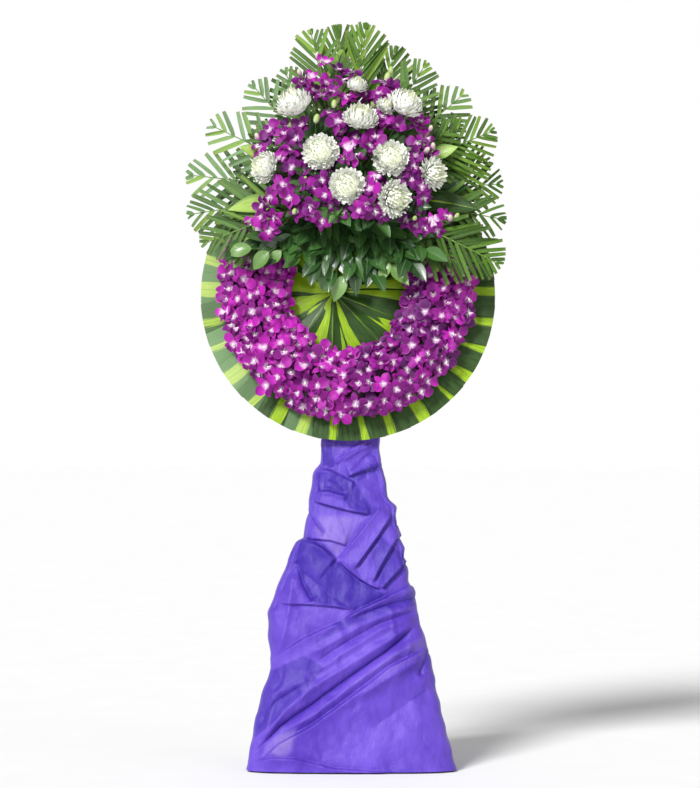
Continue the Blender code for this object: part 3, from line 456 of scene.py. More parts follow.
def floor_material():
    s = Shader("pale_floor", 0.9)
    grain = s.noise(s.position(), 6.0, 2.0)
    s.colour(s.mix(grain, (0.86, 0.86, 0.86), (0.90, 0.90, 0.90)))
    return s.material


# Sheets and the meshes that gather them


class Cover:
    """Many small sheets gathered into one mesh, each with its own place and tone."""

    def __init__(self):
        self.points, self.faces, self.places, self.tones, self.kinds = [], [], [], [], []
        self.count = 0

    def add(self, grid, tone=0.5, kind=0.0, look=0, matrix=None):
        """Adds a sheet of rows and columns; the tone is one number or one for each point."""
        rows, columns = grid.shape[:2]
        flat = grid.reshape(-1, 3)
        if matrix is not None:
            turn = np.array(matrix)
            flat = flat @ turn[:3, :3].T + turn[:3, 3]
        index = np.arange(rows * columns).reshape(rows, columns) + self.count
        quads = np.stack([index[:-1, :-1], index[:-1, 1:], index[1:, 1:], index[1:, :-1]], -1)
        along, across = np.meshgrid(np.linspace(0, 1, rows), np.linspace(0, 1, columns), indexing="ij")
        self.points.append(flat)
        self.faces.append(quads.reshape(-1, 4))
        self.places.append(np.stack([along.ravel(), across.ravel()], -1))
        tones = np.broadcast_to(tone, (rows, columns)).ravel()
        self.tones.append(np.stack([tones, np.full(rows * columns, kind)], -1))
        self.kinds.append(np.full((rows - 1) * (columns - 1), look))
        self.count += rows * columns

    def piece(self, name, materials, slot, nodes=(), matrix=LEANING):
        points = np.concatenate(self.points)
        if matrix is not None:
            turn = np.array(matrix)
            points = points @ turn[:3, :3].T + turn[:3, 3]
        mesh = bpy.data.meshes.new(name)
        mesh.from_pydata(points.tolist(), [], np.concatenate(self.faces).tolist())
        corner = np.empty(len(mesh.loops), dtype=np.int64)
        mesh.loops.foreach_get("vertex_index", corner)
        for layer, values in (("place", self.places), ("tone", self.tones)):
            uv = mesh.uv_layers.new(name=layer)
            uv.data.foreach_set("uv", np.concatenate(values)[corner].astype(np.float32).ravel())
        mesh.polygons.foreach_set("material_index", np.concatenate(self.kinds).astype(np.int32))
        for material in materials:
            mesh.materials.append(material)
        mesh.shade_smooth()
        return dress(name, mesh, nodes)


def dress(name, mesh, nodes=()):
    """Makes the mesh a piece of the wreath that stands for the given nodes."""
    made = bpy.data.objects.new(name, mesh)
    bpy.context.scene.collection.objects.link(made)
    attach(made, "root")
    if nodes:
        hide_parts(*nodes)
    return made


def strap(length, width, profile, rows, columns, lift=0.0, curl=0.0, cup=0.0, wave=0.0, twist=0.0, phase=0.0):
    """A curved blade from the origin along +Y whose front faces +Z."""
    t, s = np.linspace(0, 1, rows + 1), np.linspace(-1, 1, columns + 1)
    angle = lift + curl * t**1.2
    middle = (angle[1:] + angle[:-1]) / 2
    y = np.concatenate([[0], np.cumsum(np.cos(middle))]) * length / rows
    z = np.concatenate([[0], np.cumsum(np.sin(middle))]) * length / rows
    half = width / 2 * profile(t)
    across, along = np.meshgrid(s, t)
    out = across * half[:, None]
    up = cup * half[:, None] * np.abs(across) ** 1.6
    up += wave * half[:, None] * np.sin(along * 6 + phase) * np.abs(across) ** 2 * np.sign(across)
    up += out * np.tan(twist * along)
    return np.stack(
        [out, y[:, None] - np.sin(angle)[:, None] * up, z[:, None] + np.cos(angle)[:, None] * up], -1
    )


def round_tip(t):
    return np.maximum(np.sin(np.pi * np.clip(t, 0, 1) ** 1.30), 0) ** 0.68 * 0.97 + 0.03


def oval(t):
    return np.maximum(np.sin(np.pi * t**0.92), 0) ** 0.86 * 0.97 + 0.03


def leafy(t):
    return np.maximum(np.sin(np.pi * t**0.82), 0) ** 0.9


def cut_strip(t):
    return np.minimum(0.55 + 2.2 * t, 1.0) * (1 - 0.25 * t**4)


def blunt(t):
    return np.minimum(0.40 + 1.5 * t, 1.0) * np.where(t > 0.8, 1 - 0.62 * ((t - 0.8) / 0.2) ** 2.2, 1.0)


def band(path, half, profile, aside, cup):
    """A sheet along a path, as wide to both sides as the profile says."""
    last, rows = len(path) - 1, []
    for i, centre in enumerate(path):
        ahead = (path[min(i + 1, last)] - path[max(i - 1, 0)]).normalized()
        front = aside.cross(ahead)
        here = half * profile[i]
        rows.append([centre - aside * here + front * cup * here, centre, centre + aside * here + front * cup * here])
    return np.array(rows)


def tube(path, radius, sides=6, end_radius=None):
    """A round bar along a path, as a sheet rolled up round it."""
    end_radius = radius if end_radius is None else end_radius
    rings, across, last = [], None, len(path) - 1
    for i, centre in enumerate(path):
        ahead = (path[min(i + 1, last)] - path[max(i - 1, 0)]).normalized()
        across = ahead.orthogonal() if across is None else across
        across = (across - ahead * across.dot(ahead)).normalized()
        other = ahead.cross(across)
        here = radius + (end_radius - radius) * i / last
        ring = []
        for k in range(sides + 1):
            turn = -2 * math.pi * k / sides
            ring.append(centre + (across * math.cos(turn) + other * math.sin(turn)) * here)
        rings.append(ring)
    return np.array(rings)


def ball(radius, height, rows=5, columns=7):
    """A closed egg round the origin, from its foot along +Z."""
    polar, turn = np.meshgrid(np.linspace(0, np.pi, rows + 1), np.linspace(0, 2 * np.pi, columns + 1), indexing="ij")
    return np.stack(
        [radius * np.sin(polar) * np.cos(turn), radius * np.sin(polar) * np.sin(turn), -height * np.cos(polar)], -1
    )[::-1]


def facing(position, direction, spin=0.0):
    z = direction.normalized()
    x = Vector((0, 0, 1)).cross(z)
    x = Vector((1, 0, 0)) if x.length < 1e-4 else x.normalized()
    turn = Matrix((x, z.cross(x), z)).transposed().to_4x4() @ Matrix.Rotation(spin, 4, "Z")
    return Matrix.Translation(position) @ turn


def along_frame(position, along, normal):
    """A frame whose Y runs along and whose Z is as near to the normal as it can be."""
    y = along.normalized()
    z = (normal - y * normal.dot(y)).normalized()
    return Matrix.Translation(position) @ Matrix((y.cross(z), y, z)).transposed().to_4x4()


def bend(start, middle, end, stations):
    return [start * (1 - t) ** 2 + middle * 2 * t * (1 - t) + end * t * t for t in stations]


# Orchids


def add_floret(cover, place, radius, tone, draw):
    """Five tepals, a lip and a column."""
    openness = draw.uniform(-0.15, 0.18) if draw.random() < 0.66 else draw.uniform(0.25, 0.85)
    tepals = (
        (228, 0.98, 0.52, oval, 0.02, -0.0012),
        (312, 0.98, 0.52, oval, 0.02, -0.0010),
        (90, 1.04, 0.54, oval, 0.05, -0.0006),
        (17, 1.06, 0.86, round_tip, 0.16, 0.0004),
        (163, 1.06, 0.86, round_tip, 0.16, 0.0006),
    )
    for direction, length, width, profile, lift, back in tepals:
        size = radius * draw.uniform(0.88, 1.10)
        grid = strap(
            length * size,
            width * size * draw.uniform(0.88, 1.06),
            profile,
            7,
            6 if profile is round_tip else 4,
            lift=lift + openness + draw.uniform(-0.18, 0.18),
            curl=draw.uniform(-1.0, 0.15) - 0.6 * openness,
            cup=draw.uniform(-0.35, 0.42),
            wave=draw.uniform(-0.34, 0.34),
            twist=draw.uniform(-0.25, 0.25),
            phase=draw.uniform(0, 6),
        )
        turn = Matrix.Rotation(math.radians(direction - 90 + draw.uniform(-12, 12)), 4, "Z")
        own = tone + draw.uniform(-0.16, 0.16)
        cover.add(grid, own, 0.0, matrix=place @ Matrix.Translation((0, 0, back)) @ turn)
    down = Matrix.Rotation(math.pi, 4, "Z")
    lip = strap(0.74 * radius, 0.60 * radius, round_tip, 6, 4, lift=1.0, curl=-1.6, cup=0.6)
    cover.add(lip, tone, 0.5, matrix=place @ Matrix.Translation((0, 0, 0.001)) @ down)
    column = ball(0.085 * radius, 0.17 * radius, 4, 6)
    tip = Matrix.Translation((0, 0.02 * radius, 0.17 * radius)) @ Matrix.Rotation(0.7, 4, "X")
    cover.add(column, tone, 1.0, matrix=place @ tip)


def rim_point(radius, angle, depth):
    return face_point(radius * math.cos(angle), depth, DISC_RISE + radius * math.sin(angle))


def crescent_point(angle, share, lift):
    slope = share * math.radians(62)
    out = CRESCENT_RADIUS + CRESCENT_HALF_WIDTH * math.sin(slope) / math.sin(math.radians(62))
    depth = CRESCENT_BACK + CRESCENT_HEIGHT * math.cos(slope) ** 0.8
    radial = Vector((math.cos(angle), 0, math.sin(angle)))
    normal = radial * math.sin(slope * 0.62) + Vector((0, -1, 0)) * math.cos(slope * 0.62)
    return rim_point(out, angle, depth) + normal * lift, normal


def make_crescent(looks):
    draw = random.Random(5)
    cover = Cover()
    rows = (-0.90, -0.56, -0.20, 0.18, 0.56, 0.93)
    for row, share in enumerate(rows):
        radius = CRESCENT_RADIUS + share * CRESCENT_HALF_WIDTH
        count = round(radius * abs(CRESCENT_SPAN) / 0.0315)
        for i in range(-1, count + 1):
            step = (i + 0.5 * (row % 2) + 0.25 + 0.30 * draw.uniform(-1, 1)) / count
            if not -0.012 < step < 1.012:
                continue
            angle = CRESCENT_START + CRESCENT_SPAN * step
            lift = 0.014 + 0.007 * math.cos(share * 1.4) + draw.uniform(-0.006, 0.009)
            position, normal = crescent_point(angle, share + 0.12 * draw.uniform(-1, 1), lift)
            tilt = Vector((draw.uniform(-1, 1), -0.4, draw.uniform(-1, 1))) * 0.42
            aim = (normal + tilt).normalized()
            place = facing(position, aim, draw.uniform(-1.2, 1.2))
            tone = min(1.0, max(0.0, draw.gauss(0.56 - 0.18 * math.cos(angle), 0.27)))
            add_floret(cover, place, draw.uniform(0.0265, 0.0315), tone, draw)
    # A dark sheet under the florets: painted shade between them
    bed = []
    for share in np.linspace(-1.02, 1.02, 11):
        ring = []
        for step in np.linspace(0.0, 1.0, 90):
            ring.append(crescent_point(CRESCENT_START + CRESCENT_SPAN * step, share, 0.003)[0])
        bed.append(ring)
    cover.add(np.array(bed)[::-1], 0.2, 0.0, look=1)
    nodes = [f"orchid_crescent_{i}" for i in range(1, 7)]
    shift = Matrix.Translation((-0.004, 0, 0)) @ LEANING
    return cover.piece("crescent_of_florets", [looks["petal"], looks["bed"]], "orchid", nodes, shift)


def dome_point(x, height, sink=0.0):
    reach = DOME_UP if height > BRICK_RISE else DOME_DOWN
    share = (x / DOME_HALF_WIDTH) ** 2 + ((height - BRICK_RISE) / reach) ** 2
    depth = DOME_BASE_DEPTH + DOME_DEPTH * math.sqrt(max(0.0, 1 - share)) - sink
    out = Vector((5.0 * x, -1.0, 6.5 * (height - BRICK_RISE - 0.02)))
    return face_point(x, depth, rise_of(height, depth)), out.normalized()


def brick_centre():
    return face_point(0, BRICK_DEPTH_MIDDLE, BRICK_RISE)


# Column and row of each floret among the chrysanthemums, and its tone from dark to bright;
# above one its throat is wide
BLOSSOMS = (
    (325, 60, 1.2), (309, 76, 1.2), (337, 68, 0.35), (326, 82, 0.6), (344, 79, 0.5), (351, 70, 0.45),
    (347, 96, 0.95), (322, 95, 0.25), (333, 92, 0.4), (312, 88, 0.35), (300, 84, 0.3),
    (384, 80, 0.5), (392, 86, 0.4), (379, 93, 0.6), (386, 112, 0.5), (396, 126, 0.35), (385, 124, 0.3),
    (422, 121, 0.6), (413, 116, 0.4), (426, 139, 0.65), (418, 144, 0.5), (415, 156, 0.45), (431, 158, 0.6),
    (414, 168, 0.35), (376, 138, 0.6), (369, 146, 0.4), (330, 114, 0.55), (338, 122, 0.4), (342, 133, 0.3),
    (350, 147, 1.2), (356, 157, 0.7), (345, 160, 0.5), (270, 130, 0.3), (265, 137, 0.4), (259, 147, 0.5),
    (284, 134, 0.35), (290, 121, 0.4), (302, 124, 0.45), (298, 139, 0.4), (290, 151, 0.45), (276, 160, 0.75),
    (304, 153, 0.5), (293, 168, 0.4), (305, 172, 0.4), (316, 170, 0.35), (283, 186, 0.45), (270, 198, 0.6),
    (291, 199, 0.5), (302, 190, 0.5), (317, 188, 0.6), (326, 196, 0.5), (331, 206, 0.45), (311, 208, 0.5),
    (297, 212, 0.4), (263, 205, 0.35), (275, 218, 0.7), (262, 216, 0.6), (250, 223, 1.2), (243, 238, 0.75),
    (256, 234, 1.2), (262, 243, 0.75), (270, 231, 0.5), (322, 221, 0.6), (314, 216, 0.5), (375, 178, 1.2),
    (370, 190, 0.7), (382, 184, 0.7), (366, 206, 0.55), (375, 212, 0.5), (359, 212, 0.4), (386, 210, 0.45),
    (423, 198, 0.45), (418, 208, 0.4), (432, 221, 1.2), (438, 231, 0.8), (424, 228, 0.55), (416, 224, 0.5),
    (446, 216, 0.7), (412, 180, 0.3), (421, 188, 0.35), (404, 216, 0.35), (399, 171, 0.3), (360, 122, 0.35),
    (352, 108, 0.45), (365, 92, 0.4), (398, 98, 0.35), (335, 178, 0.35), (322, 181, 0.35), (343, 214, 0.35),
)
# Column, row, tone (green below a half, purple above) and length of each bud
BUDS = (
    (316, 121, 0.1, 0.026), (334, 106, 0.1, 0.022), (337, 101, 0.2, 0.020), (387, 76, 0.1, 0.024),
    (391, 69, 0.2, 0.020), (378, 99, 0.8, 0.024), (383, 105, 0.2, 0.022), (291, 126, 0.2, 0.020),
    (268, 206, 0.8, 0.020), (305, 181, 0.2, 0.018), (294, 214, 0.2, 0.018), (450, 220, 0.8, 0.022),
    (456, 217, 0.2, 0.018), (425, 152, 0.8, 0.022), (433, 148, 0.9, 0.020), (258, 138, 0.9, 0.020),
    (318, 54, 0.9, 0.020), (300, 72, 0.9, 0.018), (430, 130, 0.9, 0.018), (414, 220, 0.2, 0.018),
)
# The middle of each of the model's sprays, which the florets are shared out to
SPRAYS = (
    (-0.055, 1.665), (-0.150, 1.515), (-0.135, 1.375), (-0.228, 1.300), (0.015, 1.495),
    (0.110, 1.540), (0.195, 1.525), (0.030, 1.335), (0.200, 1.322),
)


def beside_blooms(x, height):
    """The place nearby that no chrysanthemum covers, and how far back it is set."""
    sink = 0.0
    for column, row, size, *_ in MUMS:
        mum_x, mum_height = seen_on_dome(column, row)
        away = math.hypot(x - mum_x, height - mum_height)
        room = BLOOM_RADIUS * size * 1.18
        if away < room:
            push = room / max(away, 0.001)
            x, height = mum_x + (x - mum_x) * push, mum_height + (height - mum_height) * push
            sink = 0.014
    return x, height, sink


def make_sprays(looks):
    covers = [Cover() for _ in SPRAYS]
    draw = random.Random(21)
    for group, is_bud in ((BLOSSOMS, False), (BUDS, True)):
        for column, row, tone, *length in group:
            x, height, sink = beside_blooms(*seen_on_dome(column, row))
            nearest = min(range(len(SPRAYS)), key=lambda k: math.dist(SPRAYS[k], (x, height)))
            middle, _ = dome_point(*SPRAYS[nearest])
            hub = brick_centre().lerp(middle, 0.55)
            position, out = dome_point(x, height, sink + draw.uniform(0.0, 0.028))
            tilt = Vector((draw.uniform(-1.0, 1.0), -0.6, draw.uniform(-0.9, 0.8)))
            aim = (out + tilt).normalized()
            if is_bud:
                aim = (aim + Vector((0, 0, 0.9))).normalized()
                egg = ball(length[0] * 0.30, length[0] * 0.5, 7, 8)
                place = facing(position + aim * 0.006, aim)
                covers[nearest].add(egg, tone, look=1, matrix=place)
            else:
                place = facing(position, aim, draw.uniform(-1.3, 1.3))
                shade = tone if tone > 1 else 0.9 * tone + draw.uniform(-0.15, 0.10)
                add_floret(covers[nearest], place, draw.uniform(0.025, 0.032), shade, draw)
            back = position - aim * 0.004
            sag = back.lerp(hub, 0.45) + Vector((0, 0.012, -0.010))
            path = [hub, hub.lerp(sag, 0.5), sag, sag.lerp(back, 0.55), back]
            covers[nearest].add(tube(path, 0.0013, 5), look=2)
    for i, (cover, centre) in enumerate(zip(covers, SPRAYS)):
        middle, _ = dome_point(*centre)
        hub = brick_centre().lerp(middle, 0.55)
        start = brick_centre().lerp(middle, 0.18)
        cover.add(tube([start, start.lerp(hub, 0.5), hub, hub.lerp(middle, 0.1)], 0.0022, 6), look=2)
        materials = [looks["petal"], looks["bud"], looks["stem"]]
        cover.piece(f"spray_{i + 1}", materials, "orchid", [f"orchid_spray_{i + 1}"])


# Chrysanthemums: column, row, size, how far the bloom turns to the right and upward, how loose
# it is, and how far down its petals reach, in degrees from its middle
MUMS = (
    (357, 84, 0.60, 0.30, 1.10, 0.2, 84), (294, 103, 1.12, -0.75, 1.55, 0.1, 78),
    (405, 103, 1.08, 0.80, 1.20, 0.1, 80), (361, 117, 1.03, 0.10, 0.95, 0.1, 86),
    (320, 152, 1.03, -0.15, 0.05, 0.0, 108), (391, 158, 1.02, 0.12, 0.10, 0.0, 108),
    (263, 167, 0.95, -1.30, 0.30, 0.1, 94), (436, 174, 0.90, 1.30, -0.10, 0.8, 104),
    (347, 187, 1.03, 0.0, -0.10, 0.0, 108), (397, 200, 1.03, 0.75, -0.20, 0.5, 108),
    (386, 105, 0.56, 0.70, 0.90, 0.6, 100),
)


def add_bloom(cover, place, radius, loose, lowest_polar, draw):
    """Straps whose round tips cover a dome, closed in at the middle."""
    lowest = math.cos(math.radians(lowest_polar))
    rise = 0.74 + 0.30 * (108 - lowest_polar) / 30
    count = round((300 - 110 * loose) * (1 - lowest) / 1.31)
    golden = math.radians(137.508)
    stations = np.array([0.0, 0.25, 0.48, 0.68, 0.83, 0.94, 1.0])
    upward = Vector((0, 0, 1))
    for i in range(count):
        share = (i + 0.5) / count
        polar = math.acos(1 - share**0.9 * (1 - lowest))
        turn = golden * i + draw.uniform(-0.12, 0.12)
        flat = Vector((math.cos(turn), math.sin(turn), 0))
        out = radius * draw.uniform(0.86, 1.08 + 0.10 * loose)
        wide = polar + 0.42 - 0.20 * share + draw.uniform(-0.15, 0.15)
        base = flat * 0.22 * radius * math.sin(polar) - upward * 0.20 * radius
        middle = (flat * math.sin(wide) + upward * math.cos(wide) * 0.95 * rise) * out * 0.84
        tip = (flat * math.sin(polar) + upward * math.cos(polar) * rise) * out
        path = bend(base, middle, tip, stations)
        half = radius * draw.uniform(0.078, 0.104) * (1 - 0.20 * loose)
        aside = flat.cross(upward)
        aside = (aside + Vector((0, 0, draw.uniform(-0.4, 0.4)))).normalized()
        cover.add(band(path, half, blunt(stations), aside, 0.55), share, matrix=place)
    core = ball((0.66 - 0.30 * loose) * radius, (0.44 - 0.20 * loose) * radius, 8, 14)
    cover.add(core + np.array([0, 0, 0.14 * radius]), 0.35, matrix=place)
    for k in range(14):
        turn = 2 * math.pi * k / 14
        flat = Vector((math.cos(turn), math.sin(turn), 0))
        frame = along_frame(upward * -0.30 * radius, flat + upward * 0.3, upward - flat * 0.4)
        cover.add(strap(0.30 * radius, 0.15 * radius, oval, 4, 2, curl=0.6), look=1, matrix=place @ frame)


def make_mums(looks):
    for i, (column, row, size, sideways, upward, loose, lowest_polar) in enumerate(MUMS):
        draw = random.Random(300 + i)
        x, height = seen_on_dome(column, row)
        aim = Vector((sideways, -1.0, upward)).normalized()
        radius = BLOOM_RADIUS * size
        position, _ = dome_point(x, height)
        position += Vector((0, -0.006, 0)) - aim * 0.30 * radius
        cover = Cover()
        add_bloom(cover, facing(position, aim), radius, loose, lowest_polar, draw)
        neck = position - aim * radius * 0.3
        start = brick_centre().lerp(neck, 0.22)
        low = neck - aim * 0.03
        path = [start, start.lerp(low, 0.5), low, neck.lerp(low, 0.4), neck]
        cover.add(tube(path, 0.0024, 7), look=1)
        nodes = [f"mum_{i + 1:02d}"] if i < 10 else []
        cover.piece(f"chrysanthemum_{i + 1:02d}", [looks["mum"], looks["stem"]], "mum", nodes)


# Palm fronds

FRONDS = (
    (203, 0.380, 0.110, 0.170, 0.30, 13, 42, 0.45), (190, 0.392, 0.082, 0.128, 0.50, 11, 43, 0.50),
    (174, 0.394, 0.058, 0.078, 0.75, 10, 45, 0.55), (155, 0.372, 0.100, 0.118, 1.00, 10, 48, 0.55),
    (131, 0.362, 0.064, 0.062, 0.85, 11, 44, 0.55), (103, 0.410, 0.098, 0.090, 0.24, 12, 38, 0.62),
    (84, 0.425, 0.064, 0.058, 0.08, 12, 30, 0.62), (59, 0.372, 0.098, 0.088, 0.25, 11, 38, 0.55),
    (41, 0.380, 0.064, 0.062, 0.40, 11, 44, 0.50), (22, 0.384, 0.100, 0.112, 0.05, 15, 46, 0.50),
    (3, 0.376, 0.056, 0.072, 0.05, 14, 46, 0.40), (-12, 0.388, 0.084, 0.128, 0.10, 11, 42, 0.25),
    (-29, 0.418, 0.112, 0.185, 0.05, 14, 40, 0.25),
)
FROND_BLADE = 0.230
FROND_TIP = 0.030
FROND_STRAIGHT = 0.135
FROND_OVAL_HALF_LENGTH = 0.150  # of the oval that the leaflets are trimmed to
FROND_OVAL_HALF_WIDTH = 0.076
FROND_LONGEST = 0.125
# Fronds that stand between and behind the model's own
INNER_FRONDS = (
    (93, 0.424, 0.048, 0.046, 0.10, 12, 26, 0.6), (72, 0.388, 0.046, 0.046, 0.10, 12, 30, 0.5),
    (117, 0.350, 0.046, 0.046, 0.50, 11, 40, 0.5), (50, 0.330, 0.046, 0.046, 0.10, 11, 40, 0.4),
    (32, 0.328, 0.046, 0.060, 0.05, 12, 44, 0.3), (12, 0.352, 0.080, 0.090, 0.05, 14, 46, 0.4),
    (-4, 0.330, 0.046, 0.060, 0.05, 12, 44, 0.2), (-20, 0.340, 0.060, 0.100, 0.05, 12, 42, 0.2),
    (-36, 0.365, 0.090, 0.150, 0.05, 13, 40, 0.2), (143, 0.275, 0.046, 0.046, 0.60, 11, 44, 0.4),
    (165, 0.285, 0.046, 0.060, 0.50, 11, 44, 0.4), (182, 0.305, 0.060, 0.090, 0.40, 11, 43, 0.4),
    (197, 0.330, 0.080, 0.130, 0.30, 11, 42, 0.4), (212, 0.330, 0.090, 0.150, 0.15, 12, 40, 0.3),
    (95, 0.330, 0.110, 0.110, 0.20, 13, 32, 0.6), (30, 0.300, 0.110, 0.120, 0.05, 13, 44, 0.3),
    (150, 0.275, 0.110, 0.120, 0.40, 11, 44, 0.4), (60, 0.300, 0.110, 0.110, 0.15, 12, 40, 0.4),
    (120, 0.300, 0.110, 0.110, 0.35, 12, 40, 0.4),
)


def trimmed_length(base_at, slant, reach):
    """How far a leaflet runs from the rib before it is cut off, along a blunt oval."""
    middle = reach - FROND_OVAL_HALF_LENGTH
    length = 0.004
    while length < FROND_LONGEST:
        at = (base_at + math.cos(slant) * length - middle) / FROND_OVAL_HALF_LENGTH
        aside = math.sin(slant) * length / FROND_OVAL_HALF_WIDTH
        if max(at, 0) ** 2.5 + aside**2.5 > 1:
            break
        length += 0.001
    return length


def add_frond(cover, placing, draw):
    """A rib with slanting leaflets whose ends are trimmed."""
    angle, reach, root_depth, tip_depth, light, leaflets, slant_degrees, brightness = placing
    turn = math.radians(angle)
    ahead = Vector((math.cos(turn), 0, math.sin(turn)))
    side = Vector((-math.sin(turn), 0, math.cos(turn)))
    front = Vector((0, -1, 0))
    centre = brick_centre()
    centre.y = 0.0

    def spine(distance):
        share = max(0.0, (distance - FROND_STRAIGHT) / (reach - FROND_STRAIGHT))
        depth = root_depth + (tip_depth - root_depth) * share * (2 - share)
        return centre + ahead * distance + front * depth

    begin, end = reach - FROND_BLADE - FROND_TIP, reach - 0.014
    path = [spine(d) for d in np.linspace(0.05, end + 0.003, 16)]
    cover.add(tube(path, 0.0024, 6, 0.0012), 0.85, min(1.0, light + 0.3))
    width = 0.0126 * (10 / leaflets) ** 0.5
    for i in range(leaflets):
        near = (i + 0.2) / (leaflets - 0.6)
        for way in (1, -1):
            base_at = begin + (end - begin) * near + draw.uniform(-0.0035, 0.0035)
            slant = math.radians(slant_degrees + 4 - 8 * near - 16 * near**6 + draw.uniform(-6, 6))
            length = trimmed_length(base_at, slant, reach) * draw.uniform(0.92, 1.04)
            along = ahead * math.cos(slant) + side * math.sin(slant) * way
            along += front * draw.uniform(-0.10, 0.10)
            normal = front + side * draw.uniform(-0.6, 0.6) + ahead * draw.uniform(-0.3, 0.3)
            grid = strap(
                length,
                width * draw.uniform(0.85, 1.15) * (1 - 0.25 * near**2),
                cut_strip,
                7,
                2,
                curl=draw.uniform(-0.35, 0.15),
                cup=draw.uniform(0.15, 0.60),
                twist=draw.uniform(-0.5, 0.5),
            )
            frame = along_frame(spine(base_at) + front * 0.001, along, normal)
            tone = min(1.0, max(0.0, brightness + draw.uniform(-0.45, 0.45)))
            cover.add(grid, tone, light, matrix=frame)


def make_fronds(looks):
    for i, placing in enumerate(FRONDS):
        cover = Cover()
        add_frond(cover, placing, random.Random(50 + i))
        name = f"frond_{i + 1:02d}"
        cover.piece(name, [looks["palm"], looks["stem"]], "palm", [f"palm_frond_{i + 1:02d}"])
    cover = Cover()
    for i, placing in enumerate(INNER_FRONDS):
        add_frond(cover, placing, random.Random(80 + i))
    cover.piece("inner_fronds", [looks["palm"], looks["stem"]], "palm")


# Glossy leaves

# Tip of each twig: column, row and depth. The first five are the model's own.
TWIGS = (
    (262, 243, 0.150), (300, 256, 0.128), (335, 271, 0.100), (373, 271, 0.112), (411, 262, 0.140),
    (281, 250, 0.140), (318, 262, 0.116), (354, 268, 0.104), (392, 266, 0.124), (425, 250, 0.146),
    (245, 250, 0.150),
)


def add_glossy_leaf(cover, position, along, normal, length, tone, draw, slimness=0.48):
    grid = strap(
        length,
        length * slimness * draw.uniform(0.92, 1.08),
        leafy,
        9,
        6,
        lift=draw.uniform(-0.10, 0.15),
        curl=draw.uniform(-0.75, -0.10),
        cup=draw.uniform(0.15, 0.40),
        wave=draw.uniform(-0.12, 0.12),
        phase=draw.uniform(0, 6),
    )
    cover.add(grid, tone, matrix=along_frame(position, along, normal))


# Leaves at the ends of the twigs: column and row of the base and of the tip, depth, width as a
# share of the length, and tone, which is pale at one
PALE_LEAVES = (
    (253, 250, 229, 254, 0.182, 0.62, 0.87), (270, 253, 253, 269, 0.176, 0.62, 0.865),
    (282, 252, 269, 264, 0.170, 0.60, 0.87), (345, 276, 333, 301, 0.112, 0.56, 0.88),
    (328, 262, 323, 291, 0.110, 0.50, 0.7), (244, 259, 233, 268, 0.150, 0.50, 0.9),
)


def make_twigs(looks):
    front = Vector((0, -1, 0))
    covers = [Cover() for _ in range(5)]
    for i, (column, row, depth) in enumerate(TWIGS):
        draw = random.Random(700 + i)
        x, height = seen(column, row)
        end = face_point(x, depth, rise_of(height, depth))
        root = brick_centre() + Vector((0.34 * x, -0.008, -BRICK_HEIGHT / 2 + 0.02))
        middle = root + Vector((x * 0.25, -0.015, -0.065))
        path = bend(root, middle, end, np.linspace(0, 1, 10))
        cover = covers[min(range(5), key=lambda k: abs(TWIGS[k][0] - column))]
        cover.add(tube(path, 0.0020, 6, 0.0010), look=1)
        leaves = 10
        for k in range(leaves):
            share = 0.20 + 0.80 * k / (leaves - 1)
            place = min(int(share * 9), 8)
            here = path[place].lerp(path[place + 1], share * 9 - place)
            down = (path[place + 1] - path[place]).normalized()
            way = draw.uniform(-0.25, 0.25) if k == leaves - 1 else (-1) ** k * draw.uniform(0.3, 0.95)
            along = Matrix.Rotation(way, 4, "Y") @ down + front * draw.uniform(0.10, 0.55)
            normal = front + Vector((draw.uniform(-0.5, 0.5), 0, draw.uniform(-0.2, 0.8)))
            length = 0.072 * draw.uniform(0.82, 1.05)
            add_glossy_leaf(cover, here, along, normal, length, 0.92 * draw.random(), draw)
    for i, (*base, column, row, depth, slimness, tone) in enumerate(PALE_LEAVES):
        draw = random.Random(40 + i)
        (x, height), (tip_x, tip_height) = seen(*base), seen(column, row)
        start = face_point(x, depth, rise_of(height, depth))
        end = face_point(tip_x, depth, rise_of(tip_height, depth))
        cover = covers[min(range(5), key=lambda k: abs(TWIGS[k][0] - column))]
        cover.add(tube([start.lerp(end, -0.5) + Vector((0, 0.03, 0)), start], 0.0011, 6), look=1)
        length = (end - start).length * 1.05
        add_glossy_leaf(cover, start, end - start, front + Vector((0, 0, 0.3)), length, tone, draw, slimness)
    for i, cover in enumerate(covers):
        materials = [looks["glossy"], looks["stem"]]
        cover.piece(f"glossy_twig_{i + 1}", materials, "glossy_leaf", [f"leaf_twig_{i + 1}"])


